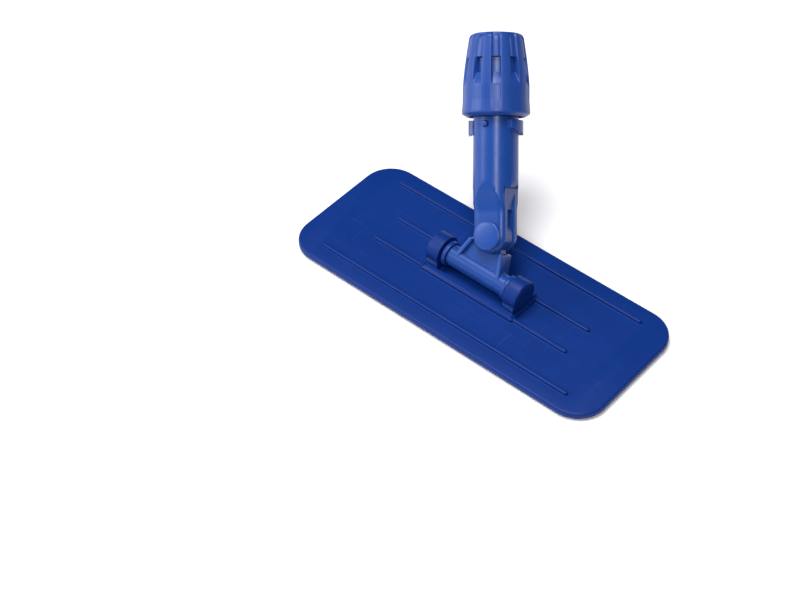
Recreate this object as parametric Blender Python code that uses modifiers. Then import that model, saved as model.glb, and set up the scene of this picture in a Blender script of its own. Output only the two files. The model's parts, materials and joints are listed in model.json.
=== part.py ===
"""Swivelling pad holder with a quick-lock pole socket, modelled at rest, in metres, +Z up.

A flat ribbed plate carries a scouring pad on two strips of hooks. A yoke swings on an axle
between two bosses of the plate, and the pole socket tilts on a pin through the yoke's eye.
A fluted collar turns on the socket's mouth and presses a split collet round the pole.

The origin is the centre of the plate's underside, with +X along the plate. Pieces of the
yoke are drawn about the axle's centre and pieces of the socket about the pin's centre, both
standing upright, and two empties on the joints turn them to their resting lean and tilt.
"""

import math

import bmesh
import bpy
from mathutils import Matrix, Vector

# Clearances, and how deep a piece sinks into the one it is moulded with
SEAT_GAP = 0.0003
RUN_GAP = 0.0001
SWEEP_GAP = 0.0008
JOIN_SINK = 0.0010

# Plate, ribs and hook strips
PLATE_LENGTH = 0.230
PLATE_WIDTH = 0.097
PLATE_THICK = 0.004
PLATE_CORNER = 0.020
PLATE_TOP_EDGE = 0.0015
PLATE_BOTTOM_EDGE = 0.0008
RIB_WIDTH = 0.0028
RIB_HEIGHT = 0.0018
RIB_EDGE = 0.0008
RIB_END_SHARE = 0.45
RIB_MARGIN = 0.0212
OUTER_RIB_INSET = 0.0121
INNER_RIB_OFFSET = 0.0110
INNER_RIB_MARGIN = 0.0408
STRIP_WIDTH = 0.025
STRIP_MARGIN = 0.0125
STRIP_INSET = 0.008
STRIP_BODY = 0.0020
STRIP_PROUD = 0.0014
STRIP_CORNER = 0.003

# Plinth and the two bosses of the axle
PLINTH_WIDTH = 0.027
PLINTH_HEIGHT = 0.003
PLINTH_SLOPE = 0.0026
PLINTH_END = 0.0010
PLINTH_CORNER = 0.0015
WELL_WIDTH = 0.018
WELL_FLOOR = 0.0008
BOSS_RADIUS = 0.010
BOSS_LIFT = 0.0007
BOSS_THICK = 0.0093
BOSS_EDGE = 0.0011
BOSS_FOOT_INSET = 0.0004
BOSS_SIDE_GAP = 0.0011
PLUG_WALL = 0.0028
PLUG_THICK = 0.0028
PLUG_EDGE = 0.0005

# Yoke, its axle and its bushes
AXLE_RADIUS = 0.0030
BUSH_WALL = 0.0018
BUSH_DEPTH = 0.012
BUSH_FLANGE_PROUD = 0.0015
BUSH_FLANGE_THICK = 0.0026
YOKE_TUBE_WALL = 0.0013
YOKE_TUBE_LENGTH = 0.042
PIN_RISE = 0.0234
WEB_HALF = 0.0034
WEB_TOP_SHARE = 0.85
EYE_WALL = 0.0042
FLANGE_FOOT_INSET = 0.0038
FLANGE_FOOT_Z = 0.0010
FLANGE_TOP_SPREAD = 0.0019
FLANGE_TOP_DROP = 0.0067
FLANGE_THICK = 0.0026
FLANGE_HALF_DEPTH = 0.0060

# Pin, washers and fork
PIN_RADIUS = 0.0040
PIN_BUSH_WALL = 0.0012
PIN_HEAD_RADIUS = 0.0087
PIN_HEAD_THICK = 0.0024
PIN_HEAD_DOME = ((1.0, 0.40), (0.975, 0.62), (0.90, 0.80), (0.70, 0.93), (0.40, 1.0))
PIN_TIP_STEP = 0.0010
RETAINER_RADIUS = 0.0075
RETAINER_THICK = 0.0026
WASHER_INSET = 0.0012
WASHER_THICK = 0.0006
WASHER_GAP = 0.0002
EAR_RADIUS = 0.0105
EAR_THICK = 0.00535
EYE_ROOM = 0.0056
FORK_TOP = 0.0282
FACE_RUNOUT_START = 0.0225
FACE_RUNOUT_END = 0.0335
SCOOP_DEPTH = 0.0014
SCOOP_TOP = 0.0326

# Socket tube, with its heights above the pin or down from the tube's top
SOCKET_RADIUS = 0.0119
SOCKET_FLOOR_THICK = 0.0010
TUBE_WALL = 0.00165
TUBE_TOP = 0.1060
HEAD_DROP = 0.0195
HEAD_PROUD = 0.00135
HEAD_SLOPE = 0.0015
TAPER_DROP = 0.0145
TAPER_FOOT_STEP = 0.0011
TAPER_LIP = 0.0007
LUG_DROP = 0.0179
LUG_HEIGHT = 0.0088
LUG_RISE = 0.0040
LUG_PROUD = 0.0028
LUG_SINK = 0.0008
LUG_ARC = math.radians(58)
LUG_STEPS = 8
PEG_DROP = 0.0024
PEG_RADIUS = 0.00175
PEG_PROUD = 0.0016
PEG_GAP = 0.0002
PEG_EDGE = 0.0005

# Collet and thrust ring
COLLAR_TRAVEL = 0.0043
COLLET_BORE_STEP = 0.0002
COLLET_TAPER_GAP = 0.00055
COLLET_END_GAP = 0.0004
COLLET_FLANGE_GAP = 0.0009
COLLET_FLANGE_THICK = 0.0022
COLLET_SLIT = 0.0016
THRUST_RING_THICK = 0.0013

# Locking collar
COLLAR_LIFT = 0.0021
COLLAR_FOOT_SLOPE = 0.0018
COLLAR_MOUTH_THICK = 0.0047
COLLAR_WALL = 0.0034
COLLAR_FLARE = 0.00055
COLLAR_FLARE_RISE = 0.0075
COLLAR_EDGE = 0.0006
SHOULDER_WALL = 0.0014
SHOULDER_DROP = 0.0043
CROWN_WALL = 0.0009
BELLY_DROP = 0.0320
BELLY_FULLNESS = 1.4
LUG_CLEARANCE = 0.00065
SKIRT_DEPTH = 0.0079
BEAD_SLOPE = 0.0010
BEAD_HEIGHT = 0.0029
BEAD_GAP = 0.0004
CHAMBER_STEP = 0.0007
POLE_MOUTH_CHAMFER = 0.0006
FLUTE_COUNT = 10
FLUTE_WIDTH = 0.0052
FLUTE_DEPTH = 0.0011
WINDOW_DROP = 0.0150
WINDOW_HEIGHT = 0.0089
RAMP_HEIGHT = 0.0076
CHANNEL_DEPTH = 0.0003
CHANNEL_LAP = 0.0005

# Resting pose
YOKE_LEAN = math.radians(-37.7)
STEM_TILT = math.radians(-27.1)
COLLAR_PHASE = math.radians(28)

# Facets, and a length that reaches past every piece
FINE = 48
COLLAR_FACETS = 60
ROUND = 32
PEG_FACETS = 16
FAR = 0.030

# Plate and yoke, worked out from the sizes above
PLATE_TOP = PLATE_THICK
AXLE_Z = PLATE_TOP + BOSS_RADIUS + BOSS_LIFT
PLUG_RADIUS = BOSS_RADIUS - PLUG_WALL
BUSH_RADIUS = AXLE_RADIUS + RUN_GAP + BUSH_WALL
YOKE_TUBE_RADIUS = BUSH_RADIUS + SEAT_GAP + YOKE_TUBE_WALL
BUSH_FLANGE_RADIUS = YOKE_TUBE_RADIUS + BUSH_FLANGE_PROUD
YOKE_HALF = YOKE_TUBE_LENGTH / 2
BUSH_OUTER_X = YOKE_HALF + SEAT_GAP + BUSH_FLANGE_THICK
BOSS_INNER_X = BUSH_OUTER_X + BOSS_SIDE_GAP
BOSS_OUTER_X = BOSS_INNER_X + BOSS_THICK
AXLE_HALF = BOSS_OUTER_X - PLUG_THICK - 2 * SEAT_GAP
PIN_BUSH_RADIUS = PIN_RADIUS + RUN_GAP + PIN_BUSH_WALL
PIN_TIP_RADIUS = PIN_RADIUS - PIN_TIP_STEP
EYE_RADIUS = PIN_BUSH_RADIUS + SEAT_GAP + EYE_WALL
FLANGE_FOOT_X = YOKE_HALF - FLANGE_FOOT_INSET
FLANGE_TOP_X = EAR_RADIUS + FLANGE_TOP_SPREAD

# Fork and socket
WASHER_RADIUS = EAR_RADIUS - WASHER_INSET
SLOT_HALF = WEB_HALF + 2 * WASHER_GAP + WASHER_THICK
FORK_HALF_THICK = SLOT_HALF + EAR_THICK
SLOT_TOP = EYE_RADIUS + EYE_ROOM
SOCKET_FLOOR = FACE_RUNOUT_END + SOCKET_FLOOR_THICK
TUBE_RADIUS = SOCKET_RADIUS + TUBE_WALL
HEAD_FOOT = TUBE_TOP - HEAD_DROP
HEAD_RADIUS = TUBE_RADIUS + HEAD_PROUD
TAPER_FOOT = TUBE_TOP - TAPER_DROP
TAPER_FOOT_RADIUS = SOCKET_RADIUS + TAPER_FOOT_STEP
TAPER_TOP_RADIUS = HEAD_RADIUS - TAPER_LIP
LUG_TOP = HEAD_FOOT - LUG_DROP
LUG_FOOT = LUG_TOP - LUG_HEIGHT
PEG_HEIGHT = LUG_TOP - PEG_DROP

# Collar's inside, collet and thrust ring
SKIRT_RADIUS = TUBE_RADIUS + LUG_PROUD + LUG_CLEARANCE
BEAD_RADIUS = TUBE_RADIUS + BEAD_GAP
CAVITY_RADIUS = HEAD_RADIUS + SEAT_GAP
CHAMBER_RADIUS = CAVITY_RADIUS - CHAMBER_STEP
COLLET_BORE_RADIUS = SOCKET_RADIUS + COLLET_BORE_STEP
COLLET_FLANGE_RADIUS = CHAMBER_RADIUS - SEAT_GAP
POLE_MOUTH_RADIUS = COLLET_BORE_RADIUS + SEAT_GAP
COLLET_FOOT = TAPER_FOOT + COLLAR_TRAVEL + COLLET_END_GAP
COLLET_FLANGE_FOOT = TUBE_TOP + COLLAR_TRAVEL + COLLET_FLANGE_GAP
COLLET_FLANGE_TOP = COLLET_FLANGE_FOOT + COLLET_FLANGE_THICK
THRUST_RING_FOOT = COLLET_FLANGE_TOP + SEAT_GAP
THRUST_RING_TOP = THRUST_RING_FOOT + THRUST_RING_THICK
CAVITY_TOP = TUBE_TOP + COLLAR_TRAVEL + COLLET_END_GAP
CHAMBER_TOP = THRUST_RING_TOP + SEAT_GAP

# Collar's outside
COLLAR_TOP = CHAMBER_TOP + COLLAR_MOUTH_THICK
COLLAR_FOOT = LUG_TOP + COLLAR_LIFT
COLLAR_RIM = COLLAR_FOOT + COLLAR_FOOT_SLOPE
FLARE_TOP = COLLAR_RIM + COLLAR_FLARE_RISE
SKIRT_TOP = COLLAR_FOOT + SKIRT_DEPTH
BEAD_FOOT = SKIRT_TOP + BEAD_SLOPE
BEAD_TOP = BEAD_FOOT + BEAD_HEIGHT
COLLAR_RIM_RADIUS = SKIRT_RADIUS + COLLAR_WALL
COLLAR_BELLY_RADIUS = COLLAR_RIM_RADIUS - COLLAR_FLARE
COLLAR_SHOULDER_RADIUS = CAVITY_RADIUS + SHOULDER_WALL
COLLAR_CROWN_RADIUS = POLE_MOUTH_RADIUS + CROWN_WALL
BELLY_HEIGHT = COLLAR_TOP - BELLY_DROP
SHOULDER_HEIGHT = COLLAR_TOP - SHOULDER_DROP
WINDOW_TOP = COLLAR_TOP - WINDOW_DROP
WINDOW_FOOT = WINDOW_TOP - WINDOW_HEIGHT
RAMP_FOOT = WINDOW_FOOT - RAMP_HEIGHT
CHANNEL_FOOT = FLARE_TOP - CHANNEL_LAP

PLASTIC = ((0.035, 0.115, 0.420, 1.0), 0.38, 0.0)
STEM_PLASTIC = ((0.050, 0.135, 0.470, 1.0), 0.34, 0.0)
BUSH_PLASTIC = ((0.045, 0.140, 0.460, 1.0), 0.45, 0.0)
HOOK_PLASTIC = ((0.020, 0.020, 0.022, 1.0), 0.60, 0.0)
STEEL = ((0.560, 0.570, 0.580, 1.0), 0.28, 1.0)


def clear_scene():
    for obj in list(bpy.data.objects):
        bpy.data.objects.remove(obj, do_unlink=True)


def new_collection(name):
    collection = bpy.data.collections.new(name)
    bpy.context.scene.collection.children.link(collection)
    return collection


def new_pivot(name, parent, location, rotation):
    pivot = bpy.data.objects.new(name, None)
    pivot.empty_display_size = 0.01
    PARTS.objects.link(pivot)
    pivot.parent = parent
    pivot.location = location
    pivot.rotation_euler = rotation
    return pivot


def new_material(name, finish):
    colour, roughness, metallic = finish
    material = bpy.data.materials.new(name)
    material.use_nodes = True
    shader = material.node_tree.nodes["Principled BSDF"]
    shader.inputs["Base Color"].default_value = colour
    shader.inputs["Roughness"].default_value = roughness
    shader.inputs["Metallic"].default_value = metallic
    material.diffuse_color = colour
    return material


def new_object(name, bm, parent=None):
    """Makes a cutter object of the bmesh, which as_part can turn into a part."""
    bmesh.ops.recalc_face_normals(bm, faces=bm.faces)
    mesh = bpy.data.meshes.new(name)
    bm.to_mesh(mesh)
    bm.free()
    obj = bpy.data.objects.new(name, mesh)
    TOOLS.objects.link(obj)
    obj.parent = parent
    obj.hide_render = True
    obj.display_type = "WIRE"
    return obj


def as_part(obj, name, finish, smooth_below=math.radians(32)):
    """Moves the object to the parts and gives it its name and its own material."""
    TOOLS.objects.unlink(obj)
    PARTS.objects.link(obj)
    obj.name = name
    obj.hide_render = False
    obj.display_type = "TEXTURED"
    if not any(modifier.type == "SCREW" for modifier in obj.modifiers):
        obj.data.shade_smooth()
        obj.data.set_sharp_from_angle(angle=smooth_below)
    obj.data.materials.append(new_material(name, finish))
    return obj


def combine(target, operation, tools):
    for tool in tools:
        modifier = target.modifiers.new(f"{operation.lower()}_{tool.name}", "BOOLEAN")
        modifier.operation = operation
        modifier.solver = "EXACT"
        modifier.object = tool


def cut(target, *tools):
    combine(target, "DIFFERENCE", tools)


def fuse(target, *tools):
    combine(target, "UNION", tools)


def box(name, low, high, parent=None):
    low, high = Vector(low), Vector(high)
    bm = bmesh.new()
    bmesh.ops.create_cube(bm, size=1)
    size = high - low
    bmesh.ops.scale(bm, vec=size, verts=bm.verts)
    bmesh.ops.translate(bm, vec=(low + high) / 2, verts=bm.verts)
    return new_object(name, bm, parent)


def rod(name, radius, start, end, parent=None, facets=ROUND):
    start, end = Vector(start), Vector(end)
    bm = bmesh.new()
    bmesh.ops.create_cone(
        bm,
        cap_ends=True,
        segments=facets,
        radius1=radius,
        radius2=radius,
        depth=(end - start).length,
    )
    turn = (end - start).to_track_quat("Z", "Y").to_matrix().to_4x4()
    bmesh.ops.transform(bm, matrix=Matrix.Translation((start + end) / 2) @ turn, verts=bm.verts)
    return new_object(name, bm, parent)


def prism(name, outline, half_depth, parent=None):
    """Extrudes an outline of (x, z) points along Y, the same way to both sides."""
    bm = bmesh.new()
    face = bm.faces.new([bm.verts.new((x, -half_depth, z)) for x, z in outline])
    made = bmesh.ops.extrude_face_region(bm, geom=[face])
    moved = [item for item in made["geom"] if isinstance(item, bmesh.types.BMVert)]
    bmesh.ops.translate(bm, vec=(0, 2 * half_depth, 0), verts=moved)
    return new_object(name, bm, parent)


def turned(name, profile, parent=None, facets=FINE, closed=True):
    """Turns (radius, height) points about Z. They run up the bore and down the outside."""
    bm = bmesh.new()
    points = [bm.verts.new((radius, 0, height)) for radius, height in profile]
    for first, second in zip(points, points[1:]):
        bm.edges.new((first, second))
    if closed:
        bm.edges.new((points[-1], points[0]))
    obj = new_object(name, bm, parent)
    screw = obj.modifiers.new("turn", "SCREW")
    screw.steps = facets
    screw.render_steps = facets
    screw.use_merge_vertices = True
    screw.merge_threshold = 0.00001
    screw.use_smooth_shade = True
    return obj


def edges_along(bm, axis, keep=lambda edge: True):
    found = []
    for edge in bm.edges:
        run = edge.verts[1].co - edge.verts[0].co
        if abs(run[axis]) > 0.99 * run.length and keep(edge):
            found.append(edge)
    return found


def rim_edges(bm, height):
    """The edges round a flat face at this height."""
    return [
        edge
        for edge in bm.edges
        if all(abs(vert.co.z - height) < 1e-7 for vert in edge.verts)
        and any(abs(face.normal.z) < 0.5 for face in edge.link_faces)
    ]


def soften(bm, edges, width, segments):
    bmesh.ops.bevel(
        bm,
        geom=edges,
        offset=width,
        offset_type="OFFSET",
        segments=segments,
        profile=0.5,
        affect="EDGES",
        clamp_overlap=True,
        material=-1,
    )


def rounded_slab(name, low, high, corner, top_edge, bottom_edge=0, top_segments=3):
    """A slab with round corners seen from above, and its top and bottom rims rounded."""
    low, high = Vector(low), Vector(high)
    bm = bmesh.new()
    bmesh.ops.create_cube(bm, size=1)
    bmesh.ops.scale(bm, vec=high - low, verts=bm.verts)
    bmesh.ops.translate(bm, vec=(low + high) / 2, verts=bm.verts)
    soften(bm, edges_along(bm, 2), corner, 7)
    bm.normal_update()
    soften(bm, rim_edges(bm, high.z), top_edge, top_segments)
    bm.normal_update()
    if bottom_edge:
        soften(bm, rim_edges(bm, low.z), bottom_edge, 2)
    return new_object(name, bm)


def arc(centre_x, centre_z, radius, start, end, steps):
    """Points of an arc, with its angles measured from +x towards +z."""
    angles = [start + (end - start) * step / steps for step in range(steps + 1)]
    return [(centre_x + radius * math.cos(a), centre_z + radius * math.sin(a)) for a in angles]


def runout(depth_from, depth_to, low, high, steps=6):
    """Points of a hollow curve that leaves a flat at depth_from and reaches depth_to."""
    rise, gain = high - low, depth_to - depth_from
    radius = (rise * rise + gain * gain) / (2 * gain)
    heights = [low + rise * step / steps for step in range(steps + 1)]
    return [(depth_from + radius - math.sqrt(radius**2 - (z - low) ** 2), z) for z in heights]


def rib(name, start_x, end_x, y):
    low = (min(start_x, end_x), y - RIB_WIDTH / 2, PLATE_TOP - JOIN_SINK)
    high = (max(start_x, end_x), y + RIB_WIDTH / 2, PLATE_TOP + RIB_HEIGHT)
    return rounded_slab(name, low, high, RIB_END_SHARE * RIB_WIDTH, RIB_EDGE, top_segments=2)


def add_ribs(plate):
    outer_end = PLATE_LENGTH / 2 - RIB_MARGIN
    inner_end = PLATE_LENGTH / 2 - INNER_RIB_MARGIN
    outer_y = PLATE_WIDTH / 2 - OUTER_RIB_INSET
    for side in (-1, 1):
        fuse(plate, rib(f"outer_rib_{side}", -outer_end, outer_end, side * outer_y))
        for end in (-1, 1):
            name = f"inner_rib_{side}_{end}"
            start = end * (BOSS_INNER_X + BOSS_THICK / 2)
            fuse(plate, rib(name, start, end * inner_end, side * INNER_RIB_OFFSET))


def add_plinth(plate):
    half_length = BOSS_OUTER_X + PLINTH_END
    low = (-half_length, -PLINTH_WIDTH / 2, PLATE_TOP - JOIN_SINK)
    high = (half_length, PLINTH_WIDTH / 2, PLATE_TOP + PLINTH_HEIGHT)
    plinth = rounded_slab("plinth", low, high, PLINTH_CORNER, PLINTH_SLOPE, top_segments=1)
    fuse(plate, plinth)
    well_low = (-BOSS_INNER_X, -WELL_WIDTH / 2, PLATE_TOP + WELL_FLOOR)
    well_high = (BOSS_INNER_X, WELL_WIDTH / 2, AXLE_Z)
    cut(plate, box("well", well_low, well_high))


def boss_profile():
    """Inner face at height 0, outer face at BOSS_THICK."""
    outer = arc(BOSS_RADIUS - BOSS_EDGE, BOSS_THICK - BOSS_EDGE, BOSS_EDGE, math.pi / 2, 0, 3)
    return [(0, BOSS_THICK)] + outer + [(BOSS_RADIUS, 0), (0, 0)]


def lay_along_x(obj, x, side, z=0.0):
    """Lays an object that was turned about Z along X, its top facing the given side."""
    obj.location = (x, 0, z)
    obj.rotation_euler = (0, side * math.pi / 2, 0)
    return obj


def add_bosses(plate):
    foot_half = BOSS_RADIUS - BOSS_FOOT_INSET
    for side in (-1, 1):
        boss = turned(f"boss_{side}", boss_profile(), facets=ROUND, closed=False)
        lay_along_x(boss, side * BOSS_INNER_X, side, AXLE_Z)
        near, far = side * BOSS_INNER_X, side * (BOSS_OUTER_X - BOSS_EDGE)
        foot_low = (min(near, far), -foot_half, PLATE_TOP - JOIN_SINK)
        foot_high = (max(near, far), foot_half, AXLE_Z)
        fuse(plate, boss, box(f"boss_foot_{side}", foot_low, foot_high))
    bore_half = AXLE_HALF + SEAT_GAP
    bore_radius = AXLE_RADIUS + SEAT_GAP
    ends = (-bore_half, 0, AXLE_Z), (bore_half, 0, AXLE_Z)
    cut(plate, rod("axle_bore", bore_radius, *ends))
    for side in (-1, 1):
        ends = (side * bore_half, 0, AXLE_Z), (side * (BOSS_OUTER_X + FAR), 0, AXLE_Z)
        cut(plate, rod(f"plug_seat_{side}", PLUG_RADIUS + SEAT_GAP, *ends))


def strip_box(side, grow=0.0):
    """Low and high corner of a hook strip, or of its pocket in the plate."""
    half_length = PLATE_LENGTH / 2 - STRIP_MARGIN + grow
    outer = PLATE_WIDTH / 2 - STRIP_INSET + grow
    inner = PLATE_WIDTH / 2 - STRIP_INSET - STRIP_WIDTH - grow
    low_y, high_y = sorted((side * outer, side * inner))
    top = STRIP_BODY - STRIP_PROUD + grow
    return (-half_length, low_y, -STRIP_PROUD), (half_length, high_y, top)


def make_pad_plate():
    low = (-PLATE_LENGTH / 2, -PLATE_WIDTH / 2, 0)
    high = (PLATE_LENGTH / 2, PLATE_WIDTH / 2, PLATE_TOP)
    edges = (PLATE_TOP_EDGE, PLATE_BOTTOM_EDGE)
    plate = rounded_slab("plate", low, high, PLATE_CORNER, *edges)
    add_plinth(plate)
    add_ribs(plate)
    add_bosses(plate)
    for side in (-1, 1):
        low, high = strip_box(side, SEAT_GAP)
        cut(plate, rounded_slab(f"pocket_{side}", low, high, STRIP_CORNER, SEAT_GAP, top_segments=1))
    as_part(plate, "pad_plate", PLASTIC)


def make_hook_strips():
    for side, name in ((-1, "hook_strip_front"), (1, "hook_strip_rear")):
        low, high = strip_box(side)
        strip = rounded_slab(name, low, high, STRIP_CORNER, SEAT_GAP, top_segments=1)
        as_part(strip, name, HOOK_PLASTIC)


def make_axle():
    ends = (-AXLE_HALF, 0, AXLE_Z), (AXLE_HALF, 0, AXLE_Z)
    as_part(rod("axle", AXLE_RADIUS, *ends), "swivel_axle", STEEL)


def make_axle_plugs():
    edge = arc(PLUG_RADIUS - PLUG_EDGE, PLUG_THICK - PLUG_EDGE, PLUG_EDGE, math.pi / 2, 0, 2)
    profile = [(0, PLUG_THICK)] + edge + [(PLUG_RADIUS, 0), (0, 0)]
    for side, name in ((-1, "axle_plug_left"), (1, "axle_plug_right")):
        plug = turned(name, profile, facets=ROUND, closed=False)
        lay_along_x(plug, side * (BOSS_OUTER_X - PLUG_THICK), side, AXLE_Z)
        as_part(plug, name, PLASTIC)


def make_yoke_bushes(yoke_pivot):
    bore = AXLE_RADIUS + RUN_GAP
    flange_foot = BUSH_OUTER_X - BUSH_FLANGE_THICK
    start = YOKE_HALF - BUSH_DEPTH
    profile = [
        (bore, start),
        (bore, BUSH_OUTER_X),
        (BUSH_FLANGE_RADIUS - RIB_EDGE / 2, BUSH_OUTER_X),
        (BUSH_FLANGE_RADIUS, BUSH_OUTER_X - RIB_EDGE / 2),
        (BUSH_FLANGE_RADIUS, flange_foot),
        (BUSH_RADIUS, flange_foot),
        (BUSH_RADIUS, start),
    ]
    for side, name in ((-1, "yoke_bush_left"), (1, "yoke_bush_right")):
        bush = turned(name, profile, yoke_pivot, facets=ROUND)
        lay_along_x(bush, 0, side)
        as_part(bush, name, BUSH_PLASTIC)


def flange_outline(side):
    """A leaning bar from the yoke's tube up to the ears, in (x, z)."""
    top_z = PIN_RISE - FLANGE_TOP_DROP
    outer = [(FLANGE_FOOT_X, FLANGE_FOOT_Z), (FLANGE_TOP_X, top_z)]
    inner = [(x - FLANGE_THICK, z) for x, z in reversed(outer)]
    return [(side * x, z) for x, z in outer + inner]


def make_yoke(yoke_pivot):
    ends = (-YOKE_HALF, 0, 0), (YOKE_HALF, 0, 0)
    yoke = rod("yoke_tube", YOKE_TUBE_RADIUS, *ends, yoke_pivot, FINE)
    web_top = PIN_RISE - EYE_RADIUS / 2
    inset = FLANGE_THICK / 2
    web = [
        (-FLANGE_FOOT_X + inset, FLANGE_FOOT_Z),
        (FLANGE_FOOT_X - inset, FLANGE_FOOT_Z),
        (FLANGE_TOP_X - inset, PIN_RISE - EYE_RADIUS + inset),
        (EYE_RADIUS * WEB_TOP_SHARE, web_top),
        (-EYE_RADIUS * WEB_TOP_SHARE, web_top),
        (-FLANGE_TOP_X + inset, PIN_RISE - EYE_RADIUS + inset),
    ]
    fuse(yoke, prism("web", web, WEB_HALF, yoke_pivot))
    ends = (0, -WEB_HALF, PIN_RISE), (0, WEB_HALF, PIN_RISE)
    fuse(yoke, rod("eye", EYE_RADIUS, *ends, yoke_pivot, FINE))
    for side in (-1, 1):
        flange = prism(f"flange_{side}", flange_outline(side), FLANGE_HALF_DEPTH, yoke_pivot)
        for face in (-1, 1):
            near = (0, face * (WEB_HALF + WASHER_GAP), PIN_RISE)
            far = (0, face * FAR, PIN_RISE)
            name = f"ear_room_{side}_{face}"
            cut(flange, rod(name, EAR_RADIUS + SWEEP_GAP, near, far, yoke_pivot, FINE))
        fuse(yoke, flange)
    ends = (-FAR, 0, 0), (FAR, 0, 0)
    cut(yoke, rod("bush_bore", BUSH_RADIUS + SEAT_GAP, *ends, yoke_pivot))
    ends = (0, -FAR, PIN_RISE), (0, FAR, PIN_RISE)
    cut(yoke, rod("pin_bush_bore", PIN_BUSH_RADIUS + SEAT_GAP, *ends, yoke_pivot))
    as_part(yoke, "swivel_yoke", STEM_PLASTIC)


def make_pin_bush(yoke_pivot):
    bore = PIN_RADIUS + RUN_GAP
    half = WEB_HALF
    profile = [(bore, -half), (bore, half), (PIN_BUSH_RADIUS, half), (PIN_BUSH_RADIUS, -half)]
    bush = turned("pin_bush", profile, yoke_pivot, facets=ROUND)
    bush.location = (0, 0, PIN_RISE)
    bush.rotation_euler = (math.pi / 2, 0, 0)
    as_part(bush, "pin_bush", BUSH_PLASTIC)


def make_washers(stem_pivot):
    bore = PIN_RADIUS + SEAT_GAP
    profile = [(bore, 0), (bore, WASHER_THICK), (WASHER_RADIUS, WASHER_THICK), (WASHER_RADIUS, 0)]
    for side, name in ((-1, "friction_washer_front"), (1, "friction_washer_rear")):
        washer = turned(name, profile, stem_pivot, facets=ROUND)
        washer.location = (0, side * (WEB_HALF + WASHER_GAP), 0)
        washer.rotation_euler = (-side * math.pi / 2, 0, 0)
        as_part(washer, name, STEEL)


def make_pin(stem_pivot):
    """The head is at height 0 and above, and the shank hangs below it."""
    seat = SEAT_GAP
    shank_foot = -2 * FORK_HALF_THICK
    tip_foot = shank_foot - RETAINER_THICK / 2
    dome = [(PIN_HEAD_RADIUS * out, seat + PIN_HEAD_THICK * up) for out, up in PIN_HEAD_DOME]
    profile = [(0, seat + PIN_HEAD_THICK)] + dome[::-1]
    profile += [(PIN_HEAD_RADIUS, seat), (PIN_RADIUS, seat), (PIN_RADIUS, shank_foot)]
    profile += [(PIN_TIP_RADIUS, shank_foot), (PIN_TIP_RADIUS, tip_foot), (0, tip_foot)]
    pin = turned("pin", profile, stem_pivot, facets=ROUND, closed=False)
    pin.location = (0, -FORK_HALF_THICK, 0)
    pin.rotation_euler = (math.pi / 2, 0, 0)
    as_part(pin, "pivot_pin", STEM_PLASTIC)


def make_pin_retainer(stem_pivot):
    bore = PIN_TIP_RADIUS + SEAT_GAP
    blind = RETAINER_THICK / 2 + SEAT_GAP
    edge = arc(RETAINER_RADIUS - RIB_EDGE, RETAINER_THICK - RIB_EDGE, RIB_EDGE, math.pi / 2, 0, 3)
    profile = [(0, RETAINER_THICK)] + edge
    profile += [(RETAINER_RADIUS, 0), (bore, 0), (bore, blind), (0, blind)]
    cap = turned("cap", profile, stem_pivot, facets=ROUND, closed=False)
    cap.location = (0, FORK_HALF_THICK + SEAT_GAP, 0)
    cap.rotation_euler = (-math.pi / 2, 0, 0)
    as_part(cap, "pin_retainer", STEM_PLASTIC)


def socket_profile():
    return [
        (0, SOCKET_FLOOR),
        (SOCKET_RADIUS, SOCKET_FLOOR),
        (SOCKET_RADIUS, TAPER_FOOT),
        (TAPER_FOOT_RADIUS, TAPER_FOOT),
        (TAPER_TOP_RADIUS, TUBE_TOP),
        (HEAD_RADIUS, TUBE_TOP),
        (HEAD_RADIUS, HEAD_FOOT + HEAD_SLOPE),
        (TUBE_RADIUS, HEAD_FOOT),
        (TUBE_RADIUS, -EAR_RADIUS - SEAT_GAP),
        (0, -EAR_RADIUS - SEAT_GAP),
    ]


def shape_fork(socket, stem_pivot):
    """Flattens the tube's foot into two ears with round ends and a slot between them."""
    ear_end = arc(0, 0, EAR_RADIUS, 0, -math.pi, 16)
    outline = [(FAR, -FAR), (FAR, FORK_TOP), (EAR_RADIUS, FORK_TOP)] + ear_end
    outline += [(-EAR_RADIUS, FORK_TOP), (-FAR, FORK_TOP), (-FAR, -FAR)]
    cut(socket, prism("ear_outline", outline, FAR, stem_pivot))
    reach = TUBE_RADIUS + SEAT_GAP
    curve = runout(FORK_HALF_THICK, reach, FACE_RUNOUT_START, FACE_RUNOUT_END)
    outline = [(FORK_HALF_THICK, -FAR)] + curve + [(FAR, FACE_RUNOUT_END), (FAR, -FAR)]
    for side in (-1, 1):
        face = prism(f"ear_face_{side}", outline, FAR, stem_pivot)
        face.rotation_euler = (0, 0, side * math.pi / 2)
        cut(socket, face)
    low, high = (-FAR, -SLOT_HALF, -FAR), (FAR, SLOT_HALF, SLOT_TOP)
    cut(socket, box("fork_slot", low, high, stem_pivot))
    floor = EAR_RADIUS - SCOOP_DEPTH
    curve = runout(floor, reach, SLOT_TOP, SCOOP_TOP)
    outline = [(floor, SLOT_TOP - SEAT_GAP)] + curve
    outline += [(FAR, SCOOP_TOP), (FAR, SLOT_TOP - SEAT_GAP)]
    for side in (-1, 1):
        scoop = prism(f"scoop_{side}", outline, SLOT_HALF, stem_pivot)
        scoop.rotation_euler = (0, 0, (1 - side) * math.pi / 2)
        cut(socket, scoop)
    ends = (0, -FAR, 0), (0, FAR, 0)
    cut(socket, rod("pin_bore", PIN_RADIUS + SEAT_GAP, *ends, stem_pivot))


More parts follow.
